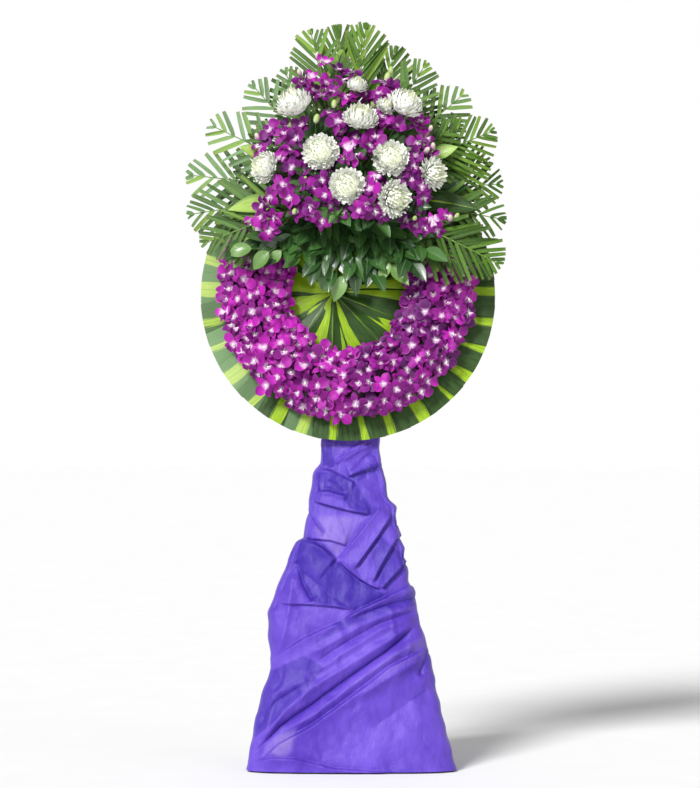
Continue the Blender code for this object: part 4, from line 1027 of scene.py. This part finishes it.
def make_backing(looks):
    """Dark leaves set deep between the flowers, over the foam and beside it on the right."""
    draw = random.Random(90)
    cover = Cover()
    front = Vector((0, -1, 0))
    centre = brick_centre()
    for _ in range(230):
        turn, out = draw.uniform(0, 2 * math.pi), math.sqrt(draw.random())
        up = math.sin(turn)
        x = 0.235 * out * math.cos(turn)
        height = BRICK_RISE + (0.235 if up > 0 else 0.105) * out * up
        surface, _ = dome_point(x, height)
        place = centre.lerp(surface, draw.uniform(0.50, 0.80))
        ahead = (place - centre).normalized() + Vector((draw.uniform(-1, 1), -0.1, draw.uniform(-1, 1)))
        normal = front + Vector((draw.uniform(-0.7, 0.7), 0, draw.uniform(-0.4, 0.9)))
        add_glossy_leaf(cover, place, ahead, normal, draw.uniform(0.045, 0.070), 0.85 * draw.random(), draw)
    for _ in range(90):
        turn = math.radians(draw.uniform(-30, 34))
        ahead = Vector((math.cos(turn), 0, math.sin(turn)))
        place = centre + ahead * draw.uniform(0.15, 0.245)
        place.y = -draw.uniform(0.050, 0.095)
        along = ahead + Vector((0, -0.1, draw.uniform(-0.8, 0.8)))
        normal = front + Vector((draw.uniform(-0.5, 0.5), 0, draw.uniform(-0.2, 0.8)))
        add_glossy_leaf(cover, place, along, normal, draw.uniform(0.055, 0.075), 0.5 * draw.random(), draw)
    cover.piece("backing_leaves", [looks["glossy"]], "glossy_leaf")


# Name, node, look, slot, angle, reach, width, tip depth, length and lime share
BROAD_LEAVES = (
    ("lime_leaf_left", "broad_leaf_left", "lime", "lime_leaf", 191.5, 0.292, 0.048, 0.150, 0.118, 0.5),
    ("striped_leaf_right", "broad_leaf_right", "striped", "striped_leaf", -10, 0.318, 0.060, 0.145, 0.170, 0.04),
    ("lime_leaf_upper_left", None, "lime", "lime_leaf", 161, 0.274, 0.036, 0.178, 0.070, 0.5),
    ("lime_leaf_upper_right", None, "lime", "lime_leaf", 20.5, 0.282, 0.038, 0.134, 0.080, 0.5),
)


def make_broad_leaves(looks):
    for name, node, look, slot, angle, reach, width, depth, length, band_share in BROAD_LEAVES:
        draw = random.Random(name)
        turn = math.radians(angle)
        ahead = Vector((math.cos(turn), 0, math.sin(turn)))
        tip = brick_centre() + ahead * reach
        tip.y = -depth
        along = (tip - brick_centre()).normalized()
        base = tip - along * length
        normal = Vector((0, -1, 0.25))
        cover = Cover()
        grid = strap(length, width, leafy, 14, 8, lift=0.10, curl=-0.30, cup=0.28, wave=0.08)
        cover.add(grid, draw.uniform(0.2, 0.5), band_share, matrix=along_frame(base, along, normal))
        start = brick_centre().lerp(base, 0.6)
        cover.add(tube([start, start.lerp(base, 0.5), base + along * 0.01], 0.0022, 6), look=1)
        cover.piece(name, [looks[look], looks["stem"]], slot, [node] if node else [])


# Striped leaves on the board


def make_collar(looks):
    """Leaves laid like shingles from the middle to the rim, where they are cut off."""
    draw = random.Random(8)
    cover = Cover()
    count, rows, columns = 30, 12, 10
    pitch = 2 * math.pi / count
    for i in range(count):
        angle = pitch * (i + draw.uniform(-0.12, 0.12))
        half = 0.049 * draw.uniform(0.94, 1.06)
        cut = draw.uniform(-0.0008, 0.0)
        skew = draw.uniform(-0.04, 0.04)
        grid = np.empty((rows + 1, columns + 1, 3))
        for r in range(rows + 1):
            share = r / rows
            for c in range(columns + 1):
                across = 2 * c / columns - 1
                rim = SHOWN_COLLAR_RADIUS - 0.0005 * (1 - across**2) + cut
                out = 0.10 + (rim - 0.10) * share
                width = half * min(1.0, 0.45 + 0.75 * share)
                turn = angle + skew * (1 - share) - across * width / out
                thick = 0.0016 + 0.0074 * (across + 1) / 2
                fold = 0.0018 * (1 - abs(across)) + 0.0006 * math.sin(5 * share + 2.5 * across + i)
                grid[r, c] = rim_point(out, turn, COLLAR_BACK + (thick + fold) * (0.6 + 0.4 * share))
        # The tone rises towards the left of the board, which paints a pale grey-green reflection on the leaves
        # there; the rest is random
        tone = 0.48 - 0.48 * math.cos(angle) + draw.uniform(-0.24, 0.24)
        cover.add(grid, min(1.0, max(0.0, tone)), draw.uniform(0.14, 0.46))
    cover.piece("collar_leaves", [looks["striped"]], "striped_leaf", ["leaf_collar"])


# Angle, width at the crescent, height over the board and lime share of each middle leaf
MIDDLE_LEAVES = (
    (95, 0.110, 0.004, 0.5), (60, 0.100, 0.005, 0.5), (130, 0.100, 0.004, 0.5), (182, 0.075, 0.005, 0.02),
    (167, 0.070, 0.010, 0.80), (220, 0.062, 0.004, 0.30), (203, 0.074, 0.009, 0.66), (280, 0.050, 0.005, 0.45),
    (237, 0.078, 0.010, 0.00), (255, 0.052, 0.0125, 0.95), (297, 0.066, 0.009, 0.75), (270, 0.044, 0.014, 0.02),
    (12, 0.100, 0.005, 0.40), (356, 0.078, 0.008, 0.70), (331, 0.084, 0.011, 0.80), (315, 0.088, 0.014, 0.00),
    (341, 0.072, 0.0155, 0.02),
)
CONVERGENCE = (-0.036, 0.002)


def make_middle(looks):
    """Leaves that fan out from one point left of the middle to the crescent's inner edge."""
    draw = random.Random(12)
    cover = Cover()
    rows, columns = 12, 10
    for angle, width, over, band in MIDDLE_LEAVES:
        turn = math.radians(angle)
        ahead = Vector((math.cos(turn), 0, math.sin(turn)))
        side = Vector((math.sin(turn), 0, -math.cos(turn)))
        origin = face_point(CONVERGENCE[0], COLLAR_BACK + 0.009 + over, DISC_RISE + CONVERGENCE[1])
        flat = Vector((CONVERGENCE[0], 0, CONVERGENCE[1]))
        along = flat.dot(ahead)
        length = -along + math.sqrt(max(0.0, along**2 + 0.150**2 - flat.dot(flat)))
        grid = np.empty((rows + 1, columns + 1, 3))
        for r in range(rows + 1):
            share = r / rows
            half = width / 2 * (0.10 + 0.90 * min(1.0, share * 1.15) ** 0.8)
            for c in range(columns + 1):
                across = 2 * c / columns - 1
                lift = 0.0045 * (1 - abs(across)) + 0.002 * math.sin(4 * share + 3 * across + angle)
                lift -= 0.012 * share**2 + 0.004 * abs(across) * share
                point = origin + ahead * (length * share) - side * (across * half)
                grid[r, c] = point + Vector((0, -lift, 0))
        cover.add(grid, draw.uniform(0.0, 0.45), band)
    cover.piece("middle_leaves", [looks["striped"]], "striped_leaf", ["leaf_centre"])


# Cloth

# Height, left edge and right edge of the wrapped cloth
CLOTH_OUTLINE = (
    (0.004, -0.243, 0.259), (0.124, -0.2215, 0.2275), (0.198, -0.200, 0.211), (0.243, -0.1845, 0.203),
    (0.283, -0.188, 0.194), (0.320, -0.192, 0.1815), (0.372, -0.1925, 0.1665), (0.425, -0.175, 0.160),
    (0.446, -0.166, 0.147), (0.468, -0.1575, 0.145), (0.526, -0.133, 0.1365), (0.542, -0.126, 0.130),
    (0.552, -0.108, 0.127), (0.578, -0.103, 0.1205), (0.600, -0.100, 0.119), (0.626, -0.0955, 0.1175),
    (0.642, -0.094, 0.100), (0.700, -0.086, 0.088), (0.711, -0.0815, 0.0865), (0.7296, -0.067, 0.079),
    (0.790, -0.065, 0.0765), (0.850, -0.058, 0.068),
)
CLOTH_ROWS, CLOTH_FRONT, CLOTH_SIDE = 386, 170, 70
CLOTH_BACK_DEPTH = -0.088
FOLD_GAIN = 1.7
FOLD_EDGE = 0.0016
CREASE_SHADE_WIDTH = 0.0032
SIDE_FOLD_SHARE = 0.40  # of a fold's height, where it goes on round a side
PLEATS = 5.5  # from the middle of the back to a side
LAP_PLACE = 0.22  # share of the back's half width

# Folds as (kind, height in mm, reach in mm, points by column and row from a corner of the cloth,
# in quarters of the photograph's pixels). An edge covers the side to the left of its direction
# where its height is above zero, and the other side where it is below. A ridge is raised on both.
FOLD_CORNER = (230, 430)
FOLDS = (
    ("edge", 6, 26, ((468, 190), (530, 166), (606, 143))),
    ("edge", -5, 24, ((345, 152), (400, 163), (460, 190), (506, 217))),
    ("ridge", 4, 6, ((415, 140), (470, 92), (545, 50))),
    ("ridge", 3, 5, ((450, 125), (510, 85), (575, 55))),
    ("ridge", -5, 5, ((372, 60), (392, 110), (408, 150))),
    ("ridge", -3, 5, ((480, 170), (540, 110), (590, 80))),
    ("edge", 7, 20, ((328, 284), (400, 304), (480, 324), (562, 338))),
    ("ridge", 4, 7, ((345, 248), (400, 250), (470, 272))),
    ("ridge", -4, 4, ((340, 240), (400, 236), (452, 256))),
    ("ridge", -3, 4, ((390, 200), (430, 225), (462, 260))),
    ("ridge", -4, 4, ((312, 322), (345, 370), (382, 412))),
    ("ridge", 3, 4, ((318, 345), (350, 395), (372, 425))),
    ("edge", 5, 22, ((286, 428), (330, 436), (400, 440), (470, 462))),
    ("edge", -8, 34, ((284, 438), (330, 448), (370, 468), (430, 518))),
    ("edge", 7, 18, ((430, 518), (470, 556), (515, 592), (560, 618), (604, 634))),
    ("edge", -7, 16, ((430, 516), (480, 455), (530, 392), (602, 300))),
    ("edge", 8, 15, ((492, 560), (545, 488), (600, 412), (655, 330))),
    ("edge", 8, 15, ((566, 614), (600, 550), (645, 470), (690, 402))),
    ("edge", 7, 14, ((606, 636), (640, 596), (675, 560), (704, 520))),
    ("ridge", -3, 4, ((600, 250), (630, 270), (652, 292))),
    ("ridge", -6, 4, ((648, 332), (656, 360), (666, 388))),
    ("ridge", -4, 4, ((684, 478), (692, 510), (706, 548))),
    ("edge", -9, 22, ((452, 750), (520, 712), (580, 684), (650, 650), (730, 618))),
    ("ridge", -4, 5, ((480, 750), (600, 706), (680, 684), (748, 664))),
    ("edge", -6, 30, ((166, 914), (230, 866), (300, 822), (380, 786), (452, 756))),
    ("ridge", 5, 11, ((300, 900), (400, 846), (520, 776), (640, 730), (748, 690))),
    ("ridge", 5, 12, ((330, 968), (450, 884), (600, 792), (750, 736))),
    ("ridge", -5, 7, ((330, 930), (450, 850), (600, 766), (752, 716))),
    ("ridge", 7, 13, ((120, 1240), (220, 1110), (340, 1010), (480, 926), (640, 830), (748, 756))),
    ("ridge", -10, 7, ((84, 1304), (200, 1172), (330, 1084), (480, 976), (620, 880), (752, 770))),
    ("edge", -8, 30, ((108, 1322), (200, 1236), (330, 1164), (480, 1056), (640, 934), (792, 862))),
    ("ridge", 6, 12, ((220, 1190), (340, 1120), (480, 1012), (640, 900), (770, 830))),
    ("ridge", -5, 6, ((792, 864), (778, 910), (754, 976))),
    ("ridge", 5, 12, ((500, 1060), (640, 975), (790, 890))),
    ("edge", -5, 16, ((80, 1312), (170, 1290), (260, 1292), (420, 1330), (650, 1346))),
    ("ridge", -6, 8, ((268, 512), (290, 600), (332, 680))),
    ("ridge", -4, 14, ((290, 560), (380, 640), (480, 706))),
    ("edge", 5, 26, ((184, 690), (330, 694), (420, 702), (486, 714))),
    ("ridge", 4, 10, ((196, 900), (236, 720), (250, 560))),
    ("ridge", -3, 10, ((170, 730), (210, 640), (262, 520))),
    ("ridge", 4, 16, ((130, 1130), (200, 1040), (320, 980))),
    ("ridge", -4, 9, ((110, 1190), (180, 1080), (290, 1010))),
    ("ridge", -3, 20, ((560, 1180), (700, 1080), (830, 1000))),
)


# Places where the cloth lies double, and with a negative depth where it is thin, by their
# corners in the units of the folds
LAYERS = (
    (0.9, ((286, 436), (380, 455), (425, 520), (500, 575), (560, 622), (640, 664), (500, 714), (380, 696),
           (320, 680), (285, 620), (262, 520))),
    (0.7, ((165, 955), (300, 890), (380, 940), (330, 1000), (270, 1060), (180, 1150), (90, 1230), (66, 1250),
           (100, 1110), (130, 1030))),
    (0.8, ((365, 60), (410, 62), (415, 148), (372, 138))),
    (0.6, ((400, 165), (470, 195), (506, 220), (560, 300), (565, 340), (490, 322), (440, 262), (350, 240),
           (345, 170))),
    (0.7, ((480, 180), (530, 150), (600, 130), (606, 160), (560, 175), (498, 215))),
    (0.5, ((560, 470), (600, 420), (690, 500), (704, 560), (620, 640), (590, 600))),
    (0.6, ((440, 750), (560, 700), (740, 640), (745, 700), (640, 716), (500, 770), (330, 850))),
    (-0.8, ((350, 345), (440, 335), (560, 345), (500, 400), (480, 460), (420, 520), (370, 450), (330, 400))),
    (-0.9, ((130, 1235), (190, 1205), (270, 1180), (250, 1260), (230, 1290), (150, 1280))),
    (-0.5, ((300, 530), (340, 545), (370, 620), (330, 650), (300, 600))),
    (-0.4, ((480, 1000), (620, 900), (780, 810), (790, 870), (700, 940), (560, 1000))),
    (0.3, ((560, 1010), (700, 930), (770, 950), (790, 1100), (640, 1040), (420, 1120), (480, 1060))),
)
LAYER_EDGE = 0.0025


def layer_share(x, height, corners, edge):
    """1 inside the outline, 0 outside, and in between along its edge."""
    line = [seen(FOLD_CORNER[0] + c / 4, FOLD_CORNER[1] + r / 4) for c, r in corners]
    nearest = np.full(x.shape, np.inf)
    inside = np.zeros(x.shape, dtype=bool)
    for (ax, az), (bx, bz) in zip(line, line[1:] + line[:1]):
        dx, dz = bx - ax, bz - az
        share = np.clip(((x - ax) * dx + (height - az) * dz) / (dx * dx + dz * dz), 0, 1)
        nearest = np.minimum(nearest, np.hypot(x - ax - share * dx, height - az - share * dz))
        crosses = (az > height) != (bz > height)
        with np.errstate(divide="ignore", invalid="ignore"):
            inside ^= crosses & (x < ax + dx * (height - az) / dz)
    return 0.5 + 0.5 * np.tanh(np.where(inside, nearest, -nearest) / edge)


def fold_depth(x, height, kind, size, reach, points):
    """How far one fold moves each point of the cloth forward, and how much painted shade falls along its crease
    there.
    """
    line = [seen(FOLD_CORNER[0] + c / 4, FOLD_CORNER[1] + r / 4) for c, r in points]
    nearest = np.full(x.shape, np.inf)
    side, travelled = np.zeros(x.shape), np.zeros(x.shape)
    total, begun = sum(math.dist(a, b) for a, b in zip(line, line[1:])), 0.0
    for (ax, az), (bx, bz) in zip(line, line[1:]):
        dx, dz = bx - ax, bz - az
        span = math.hypot(dx, dz)
        share = np.clip(((x - ax) * dx + (height - az) * dz) / span**2, 0, 1)
        away = np.hypot(x - ax - share * dx, height - az - share * dz)
        offset = (dx * (height - az) - dz * (x - ax)) / span
        closer = away < nearest
        nearest = np.where(closer, away, nearest)
        side = np.where(closer, offset, side)
        travelled = np.where(closer, begun + share * span, travelled)
        begun += span
    progress = travelled / total
    taper = np.clip(progress / 0.14, 0, 1) * np.clip((1 - progress) / 0.10, 0, 1)
    taper = taper * taper * (3 - 2 * taper)
    reach_m, size_m = reach / 1000, FOLD_GAIN * size / 1000
    # Painted shade along the crease: darkest on its line, fading within a few millimetres
    painted_crease_shade = taper * abs(size) * np.exp(-nearest / CREASE_SHADE_WIDTH)
    if kind == "ridge":
        sharpness = 1.0 if size < 0 else 1.5
        return size_m * taper * np.exp(-((nearest / reach_m) ** sharpness)), painted_crease_shade * (size < 0)
    covered = 0.5 + 0.5 * np.tanh(side * math.copysign(1, size) / FOLD_EDGE)
    over = abs(size_m) * np.exp(-nearest / reach_m)
    under = -0.45 * abs(size_m) * np.exp(-nearest / (0.45 * reach_m))
    return taper * (covered * over + (1 - covered) * under), painted_crease_shade * (1 - covered)


def make_cloth(looks):
    """One sheet wrapped round both front poles: folded in front, gathered and lapped behind."""
    table = np.array(CLOTH_OUTLINE)
    heights = np.linspace(table[0, 0], table[-1, 0], CLOTH_ROWS)
    left = np.interp(heights, table[:, 0], table[:, 1]) + 0.0012 * np.sin(heights * 95)
    right = np.interp(heights, table[:, 0], table[:, 2]) + 0.0012 * np.sin(heights * 120 + 1)
    kernel = np.hanning(7) / np.hanning(7).sum()
    left[3:-3], right[3:-3] = (np.convolve(v, kernel, "valid") for v in (left, right))
    front = 0.0085 + 0.040 * (1 - np.minimum(heights / 0.74, 1.0)) ** 0.8
    q = np.concatenate([
        np.linspace(-1, 1, CLOTH_FRONT, endpoint=False),
        np.linspace(1, -1, CLOTH_SIDE + 1),
    ])
    facing_front = np.arange(len(q)) < CLOTH_FRONT
    bulge = np.maximum(1 - np.abs(q) ** 3.4, 0) ** 0.36
    middle_x, half_width = (left + right) / 2, (right - left) / 2
    middle, half_depth = (front + CLOTH_BACK_DEPTH) / 2, (front - CLOTH_BACK_DEPTH) / 2
    x = middle_x[:, None] + half_width[:, None] * q[None, :]
    high = np.repeat(heights[:, None], len(q), 1)
    is_front = np.repeat(facing_front[None, :], len(heights), 0)
    depth = middle[:, None] + half_depth[:, None] * bulge[None, :] * np.where(is_front, 1.0, -1.0)
    from_side = 1 - np.abs(np.repeat(q[None, :], len(heights), 0))

    folds = [fold_depth(x, high, *one) for one in FOLDS]
    fold, painted_crease_shade = sum(moved for moved, _ in folds), sum(dark for _, dark in folds)
    fold = fold + 0.0007 * (np.sin(41 * x + 23 * high) + np.sin(67 * high - 35 * x) + np.sin(97 * x + 71 * high))
    inner = smooth_step(from_side / 0.06) * is_front
    pressed = depth + fold * inner
    depth = np.where((inner > 0.99) & (pressed < 0.002), 0.002, pressed)

    # The folds that reach a side go on round it
    at_left, at_right = (fold[:, [np.argmin(np.abs(q[:CLOTH_FRONT] - at))]] for at in (-0.95, 0.95))
    beside = smooth_step(1 - from_side / np.where(is_front, 0.07, 0.30))
    x = x + np.where(q < 0, -at_left, at_right) * beside * SIDE_FOLD_SHARE

    # Behind, pleats fan out from the tie and one edge of the cloth laps over the other
    pleats = PLEATS * q[None, :] + 0.35 * np.sin(5 * high + 2 * q) + 0.16 * np.sin(13 * high)
    groove = np.abs(np.sin(math.pi * pleats)) ** 0.7
    gather = groove * (0.005 + 0.012 * np.clip(1 - high / 0.80, 0, 1))
    drag = 0.006 * np.maximum(np.sin(46 * high - 34 * x + 1.5 * np.sin(7 * x + 4 * high)), 0) ** 3
    from_lap = (q[None, :] - LAP_PLACE - 0.10 * np.sin(3.2 * high)) * half_width[:, None]
    lap = (0.5 + 0.5 * np.tanh(from_lap / 0.003)) * 0.012 * np.exp(-np.maximum(from_lap, 0) / 0.12)
    depth = depth - (gather + drag + lap) * smooth_step(from_side / 0.20) * ~is_front
    shadow = 0.25 * (1 - groove) ** 2 + 0.45 * np.exp(-np.abs(from_lap + 0.004) / 0.004)

    # The upper edge is uneven
    high = high + 0.005 * np.clip((high - 0.80) / 0.05, 0, 1) * (np.sin(7 * q + 1) + 0.6 * np.sin(19 * q))
    rise = (high - depth * math.sin(LEAN)) / math.cos(LEAN)
    # The tone: darker towards the top, painted shade along the creases, and the listed patches darker where the
    # cloth lies double or paler where it is thin
    layers_and_shade = 0.5 + 0.12 * np.clip((high - 0.42) / 0.10, 0, 1) + 0.06 * np.minimum(painted_crease_shade, 8)
    for much, corners in LAYERS:
        layers_and_shade += 0.5 * much * layer_share(x, high, corners, LAYER_EDGE if much > 0 else 3 * LAYER_EDGE)
    cover = Cover()
    cover.add(np.stack([x, -depth, rise], -1), np.where(is_front, layers_and_shade, 0.55 + shadow))
    cloth = cover.piece("folded_cloth", [looks["cloth"]], "cloth", ["cloth_wrap"])


# Easel


def culm(cover, low, high, radius, joints):
    """A bamboo pole with a swollen dark ring at each joint, closed at both ends."""
    length = (high - low).length
    along = (high - low).normalized()
    flat = along / along.z

    def ring(at, size):
        centre = low + flat * (at * along.z)
        turns = [-2 * math.pi * k / 24 for k in range(25)]
        return [centre + Vector((math.cos(t), math.sin(t), 0)) * size for t in turns]

    stations = [(0.0, radius)]
    for k in range(1, joints):
        at = length * k / joints
        stations += [(at - 0.012, radius - 0.0006), (at + 0.012, radius - 0.0006)]
        hump = ((-0.006, -0.0003), (-0.003, 0.0009), (0.0, 0.0004), (0.003, 0.0010), (0.006, -0.0003))
        cover.add(np.array([ring(at + off, radius + grow) for off, grow in hump]), 1.0)
    stations.append((length, radius))
    rings = [ring(*station) for station in stations]
    cover.add(np.array(rings), 0.0)
    for end, centre in ((rings[0], low), (rings[-1][::-1], high)):
        cover.add(np.array([[centre] * len(end), end]), 1.0)


def pole_x(side, rise):
    return STAND_X + side * POLE_FOOT_SPREAD * (1 - rise / CROSSING_RISE)


def make_easel(looks):
    right_depth = -0.0516
    behind = right_depth - 2 * POLE_RADIUS - 0.0006
    for name, side, depth in (("pole_left", -1, -POLE_RADIUS), ("pole_right", 1, right_depth)):
        low = LEANING @ face_point(pole_x(side, 0), depth, 0)
        high = LEANING @ face_point(pole_x(side, POLE_TOP_RISE), depth, POLE_TOP_RISE)
        along = (high - low) / (high.z - low.z)
        cover = Cover()
        culm(cover, low - along * low.z, high, POLE_RADIUS, 6)
        cover.piece("bamboo_" + name, [looks["bamboo"]], "bamboo", [name], matrix=None)
    cover = Cover()
    top = LEANING @ face_point(STAND_X, behind, rise_of(REAR_TOP_HEIGHT, behind))
    culm(cover, Vector((STAND_X, REAR_FOOT_Y + FRONT_SHIFT, 0)), top, POLE_RADIUS, 5)
    cover.piece("bamboo_pole_rear", [looks["bamboo"]], "bamboo", ["pole_rear"], matrix=None)

    cover = Cover()
    path = []
    for k in range(4 * 40 + 1):
        turn = 2 * math.pi * k / 40
        stretch = 1 / (abs(math.cos(turn)) ** 4 + abs(math.sin(turn)) ** 4) ** 0.25
        x = STAND_X + 0.0345 * stretch * math.cos(turn)
        depth = -0.0651 + 0.0690 * stretch * math.sin(turn)
        path.append(face_point(x, depth, CROSSING_RISE - 0.004 + 0.002 * k / 40))
    cover.add(tube(path, 0.0011, 6))
    cover.piece("wire_lashing", [looks["wire"]], "wire", ["lashing"])


def make_board(looks):
    """The round board, with eased edges."""
    turns = np.linspace(0, 2 * math.pi, 121)
    back, front, radius, ease = BOARD_BACK, BOARD_BACK + BOARD_THICKNESS, BOARD_RADIUS, 0.0015
    section = ((0.0, back), (radius * 0.5, back), (radius - ease, back), (radius, back + ease))
    section += ((radius, front - ease), (radius - ease, front), (radius * 0.5, front), (0.0, front))
    rings = [[rim_point(out, turn, depth) for turn in turns] for out, depth in section]
    cover = Cover()
    cover.add(np.array(rings)[::-1])
    board = cover.piece("round_board", [looks["board"]], "board", ["board"])
    board.data.set_sharp_from_angle(angle=math.radians(50))


def dress_nodes(nodes, looks):
    """Materials for the nodes that stay in sight as they are."""
    for name in ("crossbar_low", "crossbar_top", "crossing_block", "batten_low", "batten_high", "foam_brick"):
        mesh = nodes[name].data
        mesh.materials.clear()
        mesh.materials.append(looks["foam" if name == "foam_brick" else "batten"])


# Stage

# Brightness of the studio's walls, level with the eye, and of its ceiling
WALL_GLOW, CEILING_GLOW = 1.0, 0.32


def make_stage(looks):
    mesh = bpy.data.meshes.new("floor")
    mesh.from_pydata([(-20, -12, 0), (20, -12, 0), (20, 30, 0), (-20, 30, 0)], [], [(0, 1, 2, 3)])
    mesh.materials.append(looks["floor"])
    floor = bpy.data.objects.new("floor", mesh)
    bpy.context.scene.collection.objects.link(floor)

    world = bpy.data.worlds.new("pale_studio")
    bpy.context.scene.world = world
    world.use_nodes = True
    tree = world.node_tree
    parts = tree.nodes.new("ShaderNodeSeparateXYZ")
    tree.links.new(tree.nodes.new("ShaderNodeTexCoord").outputs["Generated"], parts.inputs[0])
    steep = tree.nodes.new("ShaderNodeMath")
    steep.operation = "ABSOLUTE"
    tree.links.new(parts.outputs[2], steep.inputs[0])
    wall = tree.nodes.new("ShaderNodeMapRange")
    wall.interpolation_type = "SMOOTHSTEP"
    tree.links.new(steep.outputs[0], wall.inputs["Value"])
    for key, number in (("From Min", 0.16), ("From Max", 0.50), ("To Min", WALL_GLOW), ("To Max", CEILING_GLOW)):
        wall.inputs[key].default_value = number
    tree.links.new(wall.outputs[0], tree.nodes["Background"].inputs["Strength"])
    tree.nodes["Background"].inputs["Color"].default_value = (1.0, 1.0, 1.0, 1.0)

    for name, aim, spread, power in (
        ("key", (0.42, 0.74, -0.58), 16, 4.0),
        ("fill", (-0.70, 0.62, -0.28), 40, 0.30),
    ):
        lamp = bpy.data.lights.new(name, "SUN")
        lamp.angle, lamp.energy = math.radians(spread), power
        made = bpy.data.objects.new(name, lamp)
        made.rotation_euler = Vector(aim).to_track_quat("-Z", "Y").to_euler()
        bpy.context.scene.collection.objects.link(made)
    bpy.context.scene.view_settings.view_transform = "Standard"


def make_camera():
    """Straight on, level, far enough back that the wreath looks as flat as in the photograph."""
    distance, plane = 7.5, -0.20
    camera = bpy.data.cameras.new("camera")
    made = bpy.data.objects.new("camera", camera)
    bpy.context.scene.collection.objects.link(made)
    x, height = seen(PICTURE_WIDTH / 2, PICTURE_HEIGHT / 2)
    made.location = (x, plane - distance, height)
    made.rotation_euler = (math.radians(90), 0, 0)
    camera.lens = camera.sensor_width * distance / (PICTURE_HEIGHT * METRES_PER_PIXEL)
    bpy.context.scene.camera = made


def main():
    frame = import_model()
    looks = {
        "petal": petal_material(),
        "bud": bud_material(),
        "stem": stem_material(),
        "mum": mum_material(),
        "palm": palm_material(),
        "glossy": glossy_material(),
        "striped": striped_material(),
        "lime": lime_material(),
        "cloth": cloth_material(),
        "bamboo": bamboo_material("bamboo", (1.0, 1.0, 0.04)),
        "batten": bamboo_material("bamboo_slat", (0.04, 1.0, 1.0)),
        "board": board_material(),
        "foam": foam_material(),
        "wire": wire_material(),
        "bed": bed_material(),
        "floor": floor_material(),
    }
    make_crescent(looks)
    make_sprays(looks)
    make_mums(looks)
    make_fronds(looks)
    make_twigs(looks)
    make_backing(looks)
    make_broad_leaves(looks)
    make_collar(looks)
    make_middle(looks)
    make_cloth(looks)
    make_easel(looks)
    make_board(looks)
    dress_nodes(frame["nodes"], looks)
    make_stage(looks)
    make_camera()


main()
